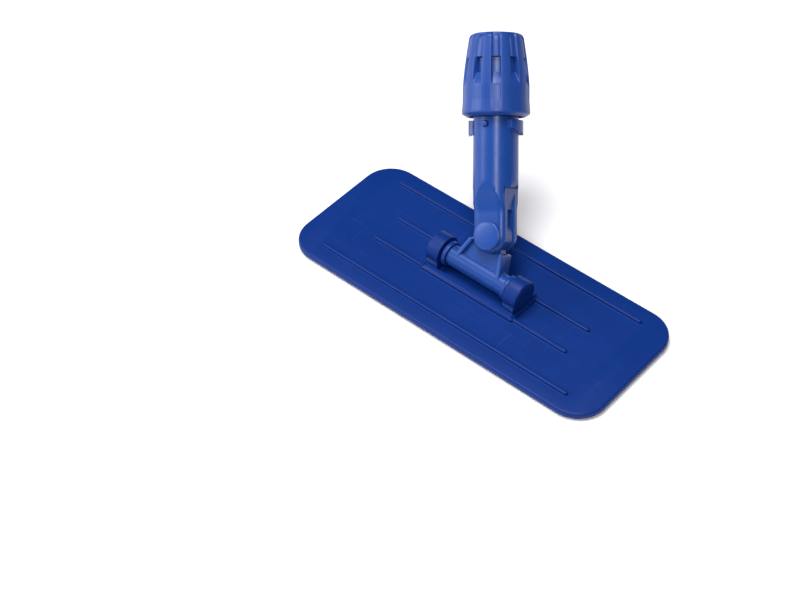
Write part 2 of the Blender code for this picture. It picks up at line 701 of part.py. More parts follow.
def lug(name, middle, stem_pivot):
    """A bayonet lug on the tube, with a lower edge that climbs like a thread."""
    inner, outer = TUBE_RADIUS - LUG_SINK, TUBE_RADIUS + LUG_PROUD
    bm = bmesh.new()
    corners = [(inner, LUG_FOOT), (outer, LUG_FOOT), (outer, LUG_TOP), (inner, LUG_TOP)]
    face = bm.faces.new([bm.verts.new((x, 0, z)) for x, z in corners])
    made = bmesh.ops.extrude_face_region(bm, geom=[face])
    for step in range(LUG_STEPS):
        moved = [item for item in made["geom"] if isinstance(item, bmesh.types.BMVert)]
        turn = Matrix.Rotation(LUG_ARC / LUG_STEPS, 4, "Z")
        bmesh.ops.transform(bm, matrix=turn, verts=moved)
        if step < LUG_STEPS - 1:
            faces = [item for item in made["geom"] if isinstance(item, bmesh.types.BMFace)]
            made = bmesh.ops.extrude_face_region(bm, geom=faces)
            bmesh.ops.delete(bm, geom=faces, context="FACES_ONLY")
    for vert in bm.verts:
        if vert.co.z < (LUG_FOOT + LUG_TOP) / 2:
            vert.co.z += LUG_RISE * (1 - math.atan2(vert.co.y, vert.co.x) / LUG_ARC)
    obj = new_object(name, bm, stem_pivot)
    obj.rotation_euler = (0, 0, middle - LUG_ARC / 2)
    return obj


def make_pole_socket(stem_pivot):
    socket = turned("socket", socket_profile(), stem_pivot, closed=False)
    shape_fork(socket, stem_pivot)
    for index, middle in enumerate((0, math.pi)):
        fuse(socket, lug(f"lug_{index}", middle, stem_pivot))
    ends = (0, 0, PEG_HEIGHT), (0, -FAR, PEG_HEIGHT)
    cut(socket, rod("peg_hole", PEG_RADIUS + PEG_GAP, *ends, stem_pivot, PEG_FACETS))
    as_part(socket, "pole_socket", STEM_PLASTIC)


def make_stop_peg(stem_pivot):
    """A peg pressed through the tube's wall, its tip flush with the bore."""
    foot, tip = SOCKET_RADIUS + SEAT_GAP, TUBE_RADIUS + PEG_PROUD
    rounding = arc(PEG_RADIUS - PEG_EDGE, tip - PEG_EDGE, PEG_EDGE, math.pi / 2, 0, 2)
    profile = [(0, tip)] + rounding + [(PEG_RADIUS, foot), (0, foot)]
    peg = turned("peg", profile, stem_pivot, facets=PEG_FACETS, closed=False)
    peg.location = (0, 0, PEG_HEIGHT)
    peg.rotation_euler = (math.pi / 2, 0, 0)
    as_part(peg, "collar_stop_peg", STEM_PLASTIC)


def taper_radius(height):
    slope = (TAPER_TOP_RADIUS - TAPER_FOOT_RADIUS) / (TUBE_TOP - TAPER_FOOT)
    return TAPER_FOOT_RADIUS + slope * (height - TAPER_FOOT)


def make_grip_collet(stem_pivot):
    foot_radius = taper_radius(COLLET_FOOT) - COLLET_TAPER_GAP
    neck_radius = TAPER_TOP_RADIUS - COLLET_TAPER_GAP
    profile = [
        (COLLET_BORE_RADIUS, COLLET_FOOT),
        (COLLET_BORE_RADIUS, COLLET_FLANGE_TOP),
        (COLLET_FLANGE_RADIUS, COLLET_FLANGE_TOP),
        (COLLET_FLANGE_RADIUS, COLLET_FLANGE_FOOT),
        (neck_radius, COLLET_FLANGE_FOOT),
        (neck_radius, TUBE_TOP),
        (foot_radius, COLLET_FOOT),
    ]
    collet = turned("collet", profile, stem_pivot)
    low = (0, -COLLET_SLIT / 2, COLLET_FOOT - SEAT_GAP)
    high = (FAR, COLLET_SLIT / 2, COLLET_FLANGE_TOP + SEAT_GAP)
    cut(collet, box("collet_slit", low, high, stem_pivot))
    as_part(collet, "grip_collet", BUSH_PLASTIC)


def make_thrust_ring(stem_pivot):
    foot, top = THRUST_RING_FOOT, THRUST_RING_TOP
    bore, rim = POLE_MOUTH_RADIUS, COLLET_FLANGE_RADIUS
    profile = [(bore, foot), (bore, top), (rim, top), (rim, foot)]
    as_part(turned("ring", profile, stem_pivot), "collar_thrust_ring", STEEL)


def belly_radius(height):
    """Outer radius of the collar between its belly and its shoulder."""
    share = (SHOULDER_HEIGHT - height) / (SHOULDER_HEIGHT - BELLY_HEIGHT)
    fall = (1 - share) ** BELLY_FULLNESS
    return COLLAR_BELLY_RADIUS - (COLLAR_BELLY_RADIUS - COLLAR_SHOULDER_RADIUS) * fall


def collar_outside(steps=6):
    """Points down the collar's outside, from its crown to its foot."""
    points = []
    for step in range(steps + 1):
        angle = math.pi / 2 * step / steps
        reach = COLLAR_SHOULDER_RADIUS - COLLAR_CROWN_RADIUS
        rise = COLLAR_TOP - SHOULDER_HEIGHT
        radius = COLLAR_CROWN_RADIUS + reach * math.sin(angle)
        points.append((radius, SHOULDER_HEIGHT + rise * math.cos(angle)))
    for step in range(1, steps + 1):
        height = SHOULDER_HEIGHT + (BELLY_HEIGHT - SHOULDER_HEIGHT) * step / steps
        points.append((belly_radius(height), height))
    points.append((COLLAR_BELLY_RADIUS, FLARE_TOP))
    points.append((COLLAR_RIM_RADIUS, COLLAR_RIM + COLLAR_EDGE))
    points.append((COLLAR_RIM_RADIUS - COLLAR_EDGE / 2, COLLAR_RIM))
    points.append((SKIRT_RADIUS + COLLAR_EDGE, COLLAR_FOOT))
    return points


def collar_inside():
    """Points up the collar's inside: skirt, snap bead, cavity, collet chamber and mouth."""
    return [
        (SKIRT_RADIUS, COLLAR_FOOT),
        (SKIRT_RADIUS, SKIRT_TOP),
        (BEAD_RADIUS, BEAD_FOOT),
        (BEAD_RADIUS, BEAD_TOP),
        (CAVITY_RADIUS, BEAD_TOP + COLLAR_EDGE),
        (CAVITY_RADIUS, CAVITY_TOP),
        (CHAMBER_RADIUS, CAVITY_TOP),
        (CHAMBER_RADIUS, CHAMBER_TOP),
        (POLE_MOUTH_RADIUS, CHAMBER_TOP),
        (POLE_MOUTH_RADIUS, COLLAR_TOP - POLE_MOUTH_CHAMFER),
        (POLE_MOUTH_RADIUS + POLE_MOUTH_CHAMFER, COLLAR_TOP),
    ]


def flute_outline():
    """What a flute takes away, in (radius, height): tongue seat, window, ramp and channel."""
    inside = CAVITY_RADIUS - 2 * SEAT_GAP
    channel_floor = COLLAR_BELLY_RADIUS - CHANNEL_DEPTH
    return [
        (FAR, COLLAR_TOP + FLUTE_DEPTH),
        (COLLAR_CROWN_RADIUS + FLUTE_DEPTH, COLLAR_TOP + FLUTE_DEPTH),
        (COLLAR_SHOULDER_RADIUS - FLUTE_DEPTH, SHOULDER_HEIGHT),
        (belly_radius(WINDOW_TOP) - FLUTE_DEPTH, WINDOW_TOP),
        (inside, WINDOW_TOP),
        (inside, WINDOW_FOOT),
        (CAVITY_RADIUS + FLUTE_DEPTH, WINDOW_FOOT),
        (channel_floor, RAMP_FOOT),
        (channel_floor, CHANNEL_FOOT),
        (FAR, CHANNEL_FOOT),
    ]


def make_locking_collar(collar_pivot):
    profile = collar_inside() + collar_outside()
    collar = turned("collar", profile, collar_pivot, facets=COLLAR_FACETS)
    for index in range(FLUTE_COUNT):
        flute = prism(f"flute_{index}", flute_outline(), FLUTE_WIDTH / 2, collar_pivot)
        turn = COLLAR_PHASE - math.pi / 2 + index * 2 * math.pi / FLUTE_COUNT
        flute.rotation_euler = (0, 0, turn)
        cut(collar, flute)
    as_part(collar, "locking_collar", STEM_PLASTIC)


def build():
    yoke_pivot = new_pivot("yoke_pivot", None, (0, 0, AXLE_Z), (YOKE_LEAN, 0, 0))
    stem_pivot = new_pivot("stem_pivot", yoke_pivot, (0, 0, PIN_RISE), (0, STEM_TILT, 0))
    collar_pivot = new_pivot("collar_pivot", stem_pivot, (0, 0, 0), (0, 0, 0))
    make_pad_plate()
    make_hook_strips()
    make_axle()
    make_axle_plugs()
    make_yoke_bushes(yoke_pivot)
    make_yoke(yoke_pivot)
    make_pin_bush(yoke_pivot)
    make_washers(stem_pivot)
    make_pin(stem_pivot)
    make_pin_retainer(stem_pivot)
    make_pole_socket(stem_pivot)
    make_stop_peg(stem_pivot)
    make_grip_collet(stem_pivot)
    make_thrust_ring(stem_pivot)
    make_locking_collar(collar_pivot)


clear_scene()
PARTS = new_collection("swivel_pad_holder")
TOOLS = new_collection("cutters")
build()
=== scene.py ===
"""Looks of a swivelling pad holder with a quick-lock socket for a pole.

Each sub-assembly is a class that holds its sizes in metres, builds its meshes upright in a frame
of its own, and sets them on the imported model: the plate in the row frame, the yoke on its axle,
and the socket, collet and collar on the swivel pin. The frames come from the model's joints.
"""

import json
import logging
import math
from dataclasses import dataclass
from enum import Enum
from typing import Any, Callable, Iterable, Sequence

import bmesh
import bpy
from mathutils import Matrix, Vector


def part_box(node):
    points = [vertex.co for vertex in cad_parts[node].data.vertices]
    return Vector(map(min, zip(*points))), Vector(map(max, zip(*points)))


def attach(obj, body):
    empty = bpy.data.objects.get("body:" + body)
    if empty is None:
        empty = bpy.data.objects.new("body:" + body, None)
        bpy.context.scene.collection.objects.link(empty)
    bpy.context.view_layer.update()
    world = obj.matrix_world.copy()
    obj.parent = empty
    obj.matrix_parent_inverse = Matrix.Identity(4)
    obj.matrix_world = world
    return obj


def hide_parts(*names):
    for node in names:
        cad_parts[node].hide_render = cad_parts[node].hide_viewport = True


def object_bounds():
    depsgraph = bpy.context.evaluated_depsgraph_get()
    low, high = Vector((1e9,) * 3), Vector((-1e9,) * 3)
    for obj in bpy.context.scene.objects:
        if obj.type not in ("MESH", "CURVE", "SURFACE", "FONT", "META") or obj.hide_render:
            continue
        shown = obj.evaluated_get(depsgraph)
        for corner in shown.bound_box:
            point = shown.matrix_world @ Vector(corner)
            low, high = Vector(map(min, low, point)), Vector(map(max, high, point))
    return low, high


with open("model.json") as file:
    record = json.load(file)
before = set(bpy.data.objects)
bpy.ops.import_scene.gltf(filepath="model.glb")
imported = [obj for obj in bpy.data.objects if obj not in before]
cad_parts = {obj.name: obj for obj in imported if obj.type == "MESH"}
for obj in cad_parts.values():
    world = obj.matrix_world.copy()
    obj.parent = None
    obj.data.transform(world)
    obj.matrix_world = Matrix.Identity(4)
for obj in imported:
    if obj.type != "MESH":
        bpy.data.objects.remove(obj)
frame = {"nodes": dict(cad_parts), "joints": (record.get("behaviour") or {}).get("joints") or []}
CAD_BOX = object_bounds()

LOG = logging.getLogger("pad_holder")
JOINTS = {joint["name"]: joint for joint in frame["joints"]}

Point = tuple[float, float]
Spot = Sequence[float]

FULL_TURN = 2 * math.pi
FINE_STEPS = 128
ROUND_STEPS = 72
SMALL_STEPS = 40
WELD = 2e-6
SHARP_ANGLE = math.radians(34)
PRESS_GAP = 0.0003
REACH = 0.030
MOST_EASED = 0.45
ALIGNED = 0.99
LEVEL_SLACK = 1e-6


class Work(Enum):
    """What a Boolean does with a tool."""

    JOIN = "UNION"
    CUT = "DIFFERENCE"


# ---------------------------------------------------------------- outlines


def arc(centre: Point, radius: float, start: float, end: float, steps: int) -> list[Point]:
    """Points of an arc.

    Args:
        centre: The arc's centre.
        radius: Its radius.
        start: Angle of the first point, from the first axis towards the second.
        end: Angle of the last point.
        steps: How many chords it has.

    Returns:
        steps + 1 points.
    """
    angles = spread(start, end, steps)
    return [(centre[0] + radius * math.cos(a), centre[1] + radius * math.sin(a)) for a in angles]


def runout(start: Point, end: Point, steps: int) -> list[Point]:
    """Points of a hollow curve that leaves a straight wall and swings outwards.

    Args:
        start: Where the curve leaves the wall, as (depth, height).
        end: Where it ends.
        steps: How many chords it has.

    Returns:
        Points from start to end.
    """
    rise, gain = end[1] - start[1], end[0] - start[0]
    radius = (rise * rise + gain * gain) / (2 * gain)
    heights = spread(0.0, rise, steps)
    return [(start[0] + radius - math.sqrt(radius**2 - h * h), start[1] + h) for h in heights]


def ramped(value: float, start: float, end: float) -> float:
    """Climbs smoothly from 0 at start to 1 at end."""
    share = min(1.0, max(0.0, (value - start) / (end - start)))
    return share * share * (3 - 2 * share)


def spread(low: float, high: float, steps: int) -> list[float]:
    """Evenly spaced places from low to high."""
    return [low + (high - low) * step / steps for step in range(steps + 1)]


def eased(points: Sequence[Point], radius: float, steps: int = 3, loop: bool = True) -> list[Point]:
    """Rounds the corners of an outline.

    Args:
        points: The outline's corners, in order.
        radius: How far from each corner the rounding starts.
        steps: Chords in each corner.
        loop: Whether the outline closes on itself. An open one keeps its two ends.

    Returns:
        The rounded outline.
    """
    found: list[Point] = []
    count = len(points)
    for index, corner in enumerate(points):
        if not loop and index in (0, count - 1):
            found.append(corner)
            continue
        here = Vector(corner)
        before, after = Vector(points[index - 1]) - here, Vector(points[(index + 1) % count]) - here
        reach = min(radius, MOST_EASED * before.length, MOST_EASED * after.length)
        start, end = here + before.normalized() * reach, here + after.normalized() * reach
        for step in range(steps + 1):
            t = step / steps
            bent = start * (1 - t) ** 2 + here * (2 * t * (1 - t)) + end * t**2
            found.append((bent.x, bent.y))
    return found


# ---------------------------------------------------------------- shapes


class Form:
    """A closed shape, worked with bmesh operators in a frame of its own."""

    def __init__(self) -> None:
        """Starts an empty shape."""
        self.bm = bmesh.new()

    @classmethod
    def block(cls, low: Spot, high: Spot) -> "Form":
        """A box between two corners."""
        form = cls()
        low, high = Vector(low), Vector(high)
        bmesh.ops.create_cube(form.bm, size=1.0)
        bmesh.ops.scale(form.bm, vec=high - low, verts=form.bm.verts)
        bmesh.ops.translate(form.bm, vec=(low + high) / 2, verts=form.bm.verts)
        return form

    @classmethod
    def rod(cls, radius: float, start: Spot, end: Spot, steps: int = ROUND_STEPS) -> "Form":
        """A round bar between two points."""
        form = cls()
        start, end = Vector(start), Vector(end)
        run = end - start
        bmesh.ops.create_cone(
            form.bm, cap_ends=True, segments=steps, radius1=radius, radius2=radius, depth=run.length
        )
        turn = run.to_track_quat("Z", "Y").to_matrix().to_4x4()
        return form.moved(Matrix.Translation((start + end) / 2) @ turn)

    @classmethod
    def turned(cls, profile: Sequence[Point], steps: int = FINE_STEPS, loop: bool = True) -> "Form":
        """A profile of (radius, height) points spun about Z.

        Args:
            profile: Points of the wall's section.
            steps: Facets in the full turn.
            loop: Whether the section closes on itself. An open one starts and ends on the axis.

        Returns:
            The turned shape.
        """
        form = cls()
        points = [form.bm.verts.new((radius, 0, height)) for radius, height in profile]
        pairs = list(zip(points, points[1:])) + ([(points[-1], points[0])] if loop else [])
        edges = [form.bm.edges.new(pair) for pair in pairs]
        bmesh.ops.spin(
            form.bm,
            geom=points + edges,
            cent=(0, 0, 0),
            axis=(0, 0, 1),
            angle=FULL_TURN,
            steps=steps,
            use_merge=True,
        )
        return form.tidied()

    @classmethod
    def prism(cls, outline: Sequence[Point], half_depth: float) -> "Form":
        """An outline of (x, z) points extruded along Y, the same way to both sides."""
        form = cls()
        face = form.bm.faces.new([form.bm.verts.new((x, -half_depth, z)) for x, z in outline])
        made = bmesh.ops.extrude_face_region(form.bm, geom=[face])
        moved = [item for item in made["geom"] if isinstance(item, bmesh.types.BMVert)]
        bmesh.ops.translate(form.bm, vec=(0, 2 * half_depth, 0), verts=moved)
        return form.tidied()

    @classmethod
    def cushion(
        cls, xs: Sequence[float], zs: Sequence[float], depth: Callable[[float, float], float]
    ) -> "Form":
        """A block whose near side on Y follows a curved surface.

        Args:
            xs: Places of the surface's columns.
            zs: Heights of its rows.
            depth: The surface's Y at a place and height.

        Returns:
            The block, from the surface out to REACH.
        """
        form = cls()
        near = [[form.bm.verts.new((x, depth(x, z), z)) for x in xs] for z in zs]
        far = [[form.bm.verts.new((x, REACH, z)) for x in xs] for z in zs]
        for rows in (near, far):
            for low, high in zip(rows, rows[1:]):
                for index in range(len(xs) - 1):
                    form.bm.faces.new((low[index], low[index + 1], high[index + 1], high[index]))
        for side in (0, -1):
            for row in range(len(zs) - 1):
                ends = near[row][side], near[row + 1][side], far[row + 1][side], far[row][side]
                form.bm.faces.new(ends)
            inner, outer = near[side], far[side]
            for index in range(len(xs) - 1):
                ends = inner[index], inner[index + 1], outer[index + 1], outer[index]
                form.bm.faces.new(ends)
        return form.tidied()

    def tidied(self) -> "Form":
        """Merges doubled points and turns every face outwards."""
        bmesh.ops.remove_doubles(self.bm, verts=self.bm.verts, dist=WELD)
        bmesh.ops.dissolve_degenerate(self.bm, dist=WELD / 4, edges=self.bm.edges)
        bmesh.ops.recalc_face_normals(self.bm, faces=self.bm.faces)
        return self

    def moved(self, matrix: Matrix) -> "Form":
        """Moves the whole shape."""
        bmesh.ops.transform(self.bm, matrix=matrix, verts=self.bm.verts)
        return self

    def softened(
        self, width: float, segments: int, keep: Callable[[bmesh.types.BMEdge], bool]
    ) -> "Form":
        """Rounds the edges that keep picks out.

        Args:
            width: How far the rounding reaches on each side of an edge.
            segments: Facets across it.
            keep: Says whether an edge is rounded.

        Returns:
            This shape.
        """
        self.bm.normal_update()
        bmesh.ops.bevel(
            self.bm,
            geom=[edge for edge in self.bm.edges if keep(edge)],
            offset=width,
            offset_type="OFFSET",
            affect="EDGES",
            segments=segments,
            profile=0.5,
            material=-1,
            clamp_overlap=True,
        )
        return self

    def worked(self, *steps: tuple[Work, Iterable["Form"]]) -> "Form":
        """Joins tools to this shape and cuts them from it, in the order given."""
        for work, forms in steps:
            body = self.scratch()
            tools = [form.scratch() for form in forms]
            for tool in tools:
                modifier = body.modifiers.new("work", "BOOLEAN")
                modifier.operation, modifier.solver, modifier.object = work.value, "EXACT", tool
            graph = bpy.context.evaluated_depsgraph_get()
            mesh = bpy.data.meshes.new_from_object(body.evaluated_get(graph))
            self.bm.clear()
            self.bm.from_mesh(mesh)
            for obj in (body, *tools):
                bpy.data.objects.remove(obj, do_unlink=True)
            bpy.data.meshes.remove(mesh)
            self.tidied()
        return self

    def scratch(self) -> bpy.types.Object:
        """A passing object of this shape, for a Boolean."""
        mesh = bpy.data.meshes.new("scratch")
        self.bm.to_mesh(mesh)
        obj = bpy.data.objects.new("scratch", mesh)
        bpy.context.scene.collection.objects.link(obj)
        return obj

    def repeated(self, count: int, step: Spot) -> "Form":
        """Repeats the shape in a row.

        Args:
            count: How many there are in the end.
            step: From each to the next.

        Returns:
            This shape.
        """
        source = [*self.bm.verts, *self.bm.edges, *self.bm.faces]
        for index in range(1, count):
            made = bmesh.ops.duplicate(self.bm, geom=source)
            points = [item for item in made["geom"] if isinstance(item, bmesh.types.BMVert)]
            bmesh.ops.translate(self.bm, vec=Vector(step) * index, verts=points)
        return self


def runs_along(axis: int) -> Callable[[bmesh.types.BMEdge], bool]:
    """Picks out the edges that run along an axis."""

    def keep(edge: bmesh.types.BMEdge) -> bool:
        """Whether the edge runs along the axis."""
        run = edge.verts[1].co - edge.verts[0].co
        return abs(run[axis]) > ALIGNED * run.length

    return keep


def at_level(axis: int, level: float) -> Callable[[bmesh.types.BMEdge], bool]:
    """Picks out the rim of a flat face that lies at a level on an axis."""

    def keep(edge: bmesh.types.BMEdge) -> bool:
        """Whether the edge lies on that rim."""
        flat = all(abs(vert.co[axis] - level) < LEVEL_SLACK for vert in edge.verts)
        return flat and any(abs(face.normal[axis]) < 0.5 for face in edge.link_faces)

    return keep


def slab(low: Spot, high: Spot, corner: float, top: float, bottom: float = 0.0) -> Form:
    """A plate with round corners seen from above and rounded rims.

    Args:
        low: Lowest corner.
        high: Highest corner.
        corner: Radius of the corners seen from above.
        top: Rounding of the top rim.
        bottom: Rounding of the bottom rim, or 0 to leave it sharp.

    Returns:
        The plate.
    """
    form = Form.block(low, high)
    form.softened(corner, 16, runs_along(2))
    form.softened(top, 4, at_level(2, high[2]))
    return form.softened(bottom, 3, at_level(2, low[2])) if bottom else form


@dataclass(frozen=True)
class Berth:
    """A frame that pieces are built in: its origin and two of its axes in the row frame."""

    origin: Vector
    x_axis: Vector
    z_axis: Vector

    def matrix(self) -> Matrix:
        """Takes points of this frame to the row frame."""
        y_axis = self.z_axis.cross(self.x_axis)
        turn = Matrix((self.x_axis, y_axis, self.z_axis)).transposed().to_4x4()
        return Matrix.Translation(self.origin) @ turn


def yoke_berth() -> Berth:
    """The yoke's frame: on the axle, with Z towards the swivel pin."""
    origin = Vector(JOINTS["yoke_swing"]["pos_m"])
    rise = Vector(JOINTS["stem_tilt"]["pos_m"]) - origin
    return Berth(origin, Vector(JOINTS["yoke_swing"]["axis"]).normalized(), rise.normalized())


def stem_berth() -> Berth:
    """The socket's frame: on the swivel pin, with Z up the socket and the pin along Y."""
    up = Vector(JOINTS["collar_turn"]["axis"]).normalized()
    pin = Vector(JOINTS["stem_tilt"]["axis"]).normalized()
    return Berth(Vector(JOINTS["stem_tilt"]["pos_m"]), pin.cross(up).normalized(), up)


def laid_along_x(side: int, x: float) -> Matrix:
    """Lays a shape that was turned about Z along X, its top facing the given side."""
    return Matrix.Translation((x, 0, 0)) @ Matrix.Rotation(side * math.pi / 2, 4, "Y")


def laid_along_y(side: int, y: float) -> Matrix:
    """Lays a shape that was turned about Z along Y, its top facing the given side."""
    return Matrix.Translation((0, y, 0)) @ Matrix.Rotation(-side * math.pi / 2, 4, "X")


@dataclass
class Setting:
    """Where a piece belongs: its body, its finish and the nodes it stands for. Its slot is not
    used.
    """

    body: str
    slot: str
    material: bpy.types.Material
    nodes: tuple[str, ...]

    def place(self, form: Form, name: str, at: Matrix, fillet: float = 0.0) -> bpy.types.Object:
        """Makes a finished piece of a shape.

        Args:
            form: The shape, in its own frame.
            name: The piece's name.
            at: From the shape's frame to the row frame.
            fillet: Rounding of the edges that are still sharp, or 0 for none.

        Returns:
            The piece.
        """
        form.moved(at).tidied()
        mesh = bpy.data.meshes.new(name)
        form.bm.to_mesh(mesh)
        form.bm.free()
        mesh.shade_smooth()
        mesh.set_sharp_from_angle(angle=SHARP_ANGLE)
        mesh.materials.append(self.material)
        piece = bpy.data.objects.new(name, mesh)
        bpy.context.scene.collection.objects.link(piece)
        if fillet:
            rounding = piece.modifiers.new("fillet", "BEVEL")
            rounding.width, rounding.segments = fillet, 3
            rounding.limit_method, rounding.angle_limit = "ANGLE", SHARP_ANGLE
            rounding.use_clamp_overlap = False
            rounding.harden_normals = True
        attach(piece, self.body)
        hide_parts(*self.nodes)
        LOG.info("%s rides on %s: %d faces", name, self.body, len(mesh.polygons))
        return piece


# ---------------------------------------------------------------- shader maths


class Wire:
    """A shader socket that can be used in Python arithmetic."""

    def __init__(self, desk: "Desk", socket: bpy.types.NodeSocket) -> None:
        """Wraps a socket of the desk's material."""
        self.desk = desk
        self.socket = socket

    def _work(self, operation: str, first: Any, second: Any) -> "Wire":
        """Adds a Math node for one operator."""
        return self.desk.node("ShaderNodeMath", {"operation": operation}, {0: first, 1: second})

    def __add__(self, other: Any) -> "Wire":
        """self + other."""
        return self._work("ADD", self, other)

    def __radd__(self, other: Any) -> "Wire":
        """other + self."""
        return self._work("ADD", other, self)

    def __sub__(self, other: Any) -> "Wire":
        """self - other."""
        return self._work("SUBTRACT", self, other)

    def __rsub__(self, other: Any) -> "Wire":
        """other - self."""
        return self._work("SUBTRACT", other, self)

    def __mul__(self, other: Any) -> "Wire":
        """self * other."""
        return self._work("MULTIPLY", self, other)

    def __rmul__(self, other: Any) -> "Wire":
        """other * self."""
        return self._work("MULTIPLY", other, self)

    def clamped(self) -> "Wire":
        """The value held between 0 and 1."""
        return self.desk.node("ShaderNodeClamp", {}, {"Value": self})


class Desk:
    """The node tree of one material."""

    def __init__(self, name: str) -> None:
        """Starts a material with a Principled shader."""
        self.material = bpy.data.materials.new(name)
        self.material.use_nodes = True
        self.tree = self.material.node_tree
        self.shader = self.tree.nodes["Principled BSDF"]

    def node(
        self, kind: str, settings: dict[str, Any], inputs: dict[Any, Any], output: Any = 0
    ) -> Wire:
        """Adds a node.

        Args:
            kind: The node's type.
            settings: Its properties, and the stops of a ramp as (place, value) pairs.
            inputs: A value or a Wire for each socket, by name or number.
            output: The socket that is wanted, by name or number.

        Returns:
            The wanted output.
        """
        made = self.tree.nodes.new(kind)
        for key, value in settings.items():
            if key == "stops":
                self._set_stops(made.color_ramp, value)
            else:
                setattr(made, key, value)
        for key, value in inputs.items():
            self.feed(made.inputs[key], value)
        return Wire(self, made.outputs[output])

    @staticmethod
    def _set_stops(ramp: bpy.types.ColorRamp, stops: Sequence[Point]) -> None:
        """Sets a grey ramp's stops."""
        while len(ramp.elements) < len(stops):
            ramp.elements.new(1.0)
        for element, (place, value) in zip(ramp.elements, stops):
            element.position = place
            element.color = (value, value, value, 1.0)

    def feed(self, socket: bpy.types.NodeSocket, value: Any) -> None:
        """Links a Wire to a socket, or sets its value."""
        if isinstance(value, Wire):
            self.tree.links.new(value.socket, socket)
        else:
            socket.default_value = value

    def dress(self, **inputs: Any) -> bpy.types.Material:
        """Feeds the shader's own sockets, named with underscores for spaces."""
        for key, value in inputs.items():
            self.feed(self.shader.inputs[key.replace("_", " ")], value)
        return self.material

    def mix(self, factor: Any, first: Any, second: Any, blend: str = "MIX") -> Wire:
        """Mixes two colours."""
        settings = {"data_type": "RGBA", "blend_type": blend}
        return self.node("ShaderNodeMix", settings, {0: factor, 6: first, 7: second}, 2)

    def coordinates(self, stretch: Spot = (1, 1, 1), turn: Spot = (0, 0, 0)) -> Wire:
        """Object coordinates, stretched and turned."""
        place = self.node("ShaderNodeTexCoord", {}, {}, "Object")
        return self.node(
            "ShaderNodeMapping", {}, {"Vector": place, "Scale": stretch, "Rotation": turn}
        )

    def noise(self, place: Wire, scale: float, detail: float = 3.0, bend: float = 0.0) -> Wire:
        """Noise between 0 and 1."""
        inputs = {"Vector": place, "Scale": scale, "Detail": detail, "Distortion": bend}
        return self.node("ShaderNodeTexNoise", {}, inputs, 0)

    def ramp(self, value: Wire, *stops: Point) -> Wire:
        """A value sent through a ramp of (place, value) stops."""
        return self.node("ShaderNodeValToRGB", {"stops": stops}, {0: value})


# ---------------------------------------------------------------- finishes


def tint(colour: Spot, gain: float) -> tuple[float, float, float, float]:
    """A colour made lighter or darker."""
    return (colour[0] * gain, colour[1] * gain, colour[2] * gain, 1.0)


@dataclass(frozen=True)
class MouldedPlastic:
    """Pigmented moulded plastic: flow marks, a fine grain, a painted highlight along the edges and
    hairline scratches.
    """

    name: str
    colour: tuple[float, float, float]
    roughness: float
    grain: float = 1.0
    scratches: float = 1.0
    # Strength of the painted highlight along the edges.
    edge_light: float = 0.25
    edge_width: float = 0.0005
    gloss: float = 0.35
    ior: float = 1.49
    flow_scale: float = 20.0
    mottle_scale: float = 210.0
    grain_scale: float = 2300.0
    ripple_scale: float = 75.0
    shades: tuple[float, float] = (0.88, 1.10)
    speck: float = 0.84
    relief_depth: float = 0.00006
    # How much paler the painted edge highlight and the scratches are.
    scratch_and_highlight_gain: float = 1.5
    scratch_and_highlight_lift: float = 0.045

    def material(self) -> bpy.types.Material:
        """Builds the material."""
        desk = Desk(self.name)
        place = desk.coordinates()
        flow = desk.noise(desk.coordinates((1.0, 2.2, 1.4)), self.flow_scale, 4.0, 0.8)
        mottle = desk.noise(place, self.mottle_scale, 3.0)
        grain = desk.noise(place, self.grain_scale, 2.0)
        ripple = desk.noise(place, self.ripple_scale, 1.0)
        scratch = self._scratches(desk)
        soft = desk.node("ShaderNodeBevel", {"samples": 6}, {"Radius": self.edge_width})
        edge = self._edge(desk, soft)
        colour = desk.mix(flow, *(tint(self.colour, shade) for shade in self.shades))
        colour = desk.mix(mottle * 0.35, colour, tint(self.colour, self.speck))
        # Painted highlight: every edge is painted paler, in patches that follow the mottle.
        edge_highlight = (edge * (0.35 + mottle) * self.edge_light).clamped()
        colour = desk.mix(edge_highlight, colour, self._scratch_and_highlight_tint())
        colour = desk.mix(scratch * 0.22, colour, self._scratch_and_highlight_tint())
        rough = self.roughness + (flow - 0.5) * 0.10 + (mottle - 0.5) * 0.06
        rough = rough + scratch * 0.16 + edge * 0.05
        height = grain * (0.30 * self.grain) + mottle * 0.25 + ripple * 1.1 - scratch * 0.35
        relief = desk.node(
            "ShaderNodeBump",
            {},
            {"Strength": 0.55, "Distance": self.relief_depth, "Height": height, "Normal": soft},
        )
        desk.shader.inputs["IOR"].default_value = self.ior
        desk.shader.inputs["Specular IOR Level"].default_value = self.gloss
        return desk.dress(Base_Color=colour, Roughness=rough.clamped(), Normal=relief)

    def _scratch_and_highlight_tint(self) -> tuple[float, float, float, float]:
        """A paler, greyer pigment: the painted highlight along the edges, and the colour of the
        scratches.
        """
        pale_parts = (min(1.0, part * self.scratch_and_highlight_gain + self.scratch_and_highlight_lift) for part in self.colour)
        return (*pale_parts, 1.0)

    def _scratches(self, desk: Desk) -> Wire:
        """Two sets of hairlines that cross, only in patches."""
        patches = desk.ramp(desk.noise(desk.coordinates(), 26.0, 2.0), (0.46, 0.0), (0.68, 1.0))
        first = desk.noise(desk.coordinates((1.0, 34.0, 34.0), (0.2, 0.1, 0.5)), 34.0, 3.0)
        second = desk.noise(desk.coordinates((30.0, 1.0, 30.0), (0.1, 0.3, -0.3)), 38.0, 3.0)
        lines = desk.ramp(first, (0.63, 0.0), (0.70, 1.0)) + desk.ramp(
            second, (0.64, 0.0), (0.71, 1.0)
        )
        return (lines * patches * self.scratches).clamped()

    def _edge(self, desk: Desk, soft: Wire) -> Wire:
        """How near a point is to an edge, from how far the rounded normal leans."""
        flat = desk.node("ShaderNodeNewGeometry", {}, {}, "Normal")
        settings = {"operation": "DOT_PRODUCT"}
        lean = desk.node("ShaderNodeVectorMath", settings, {0: soft, 1: flat}, 1)
        return ((1.0 - lean) * 7.0).clamped()


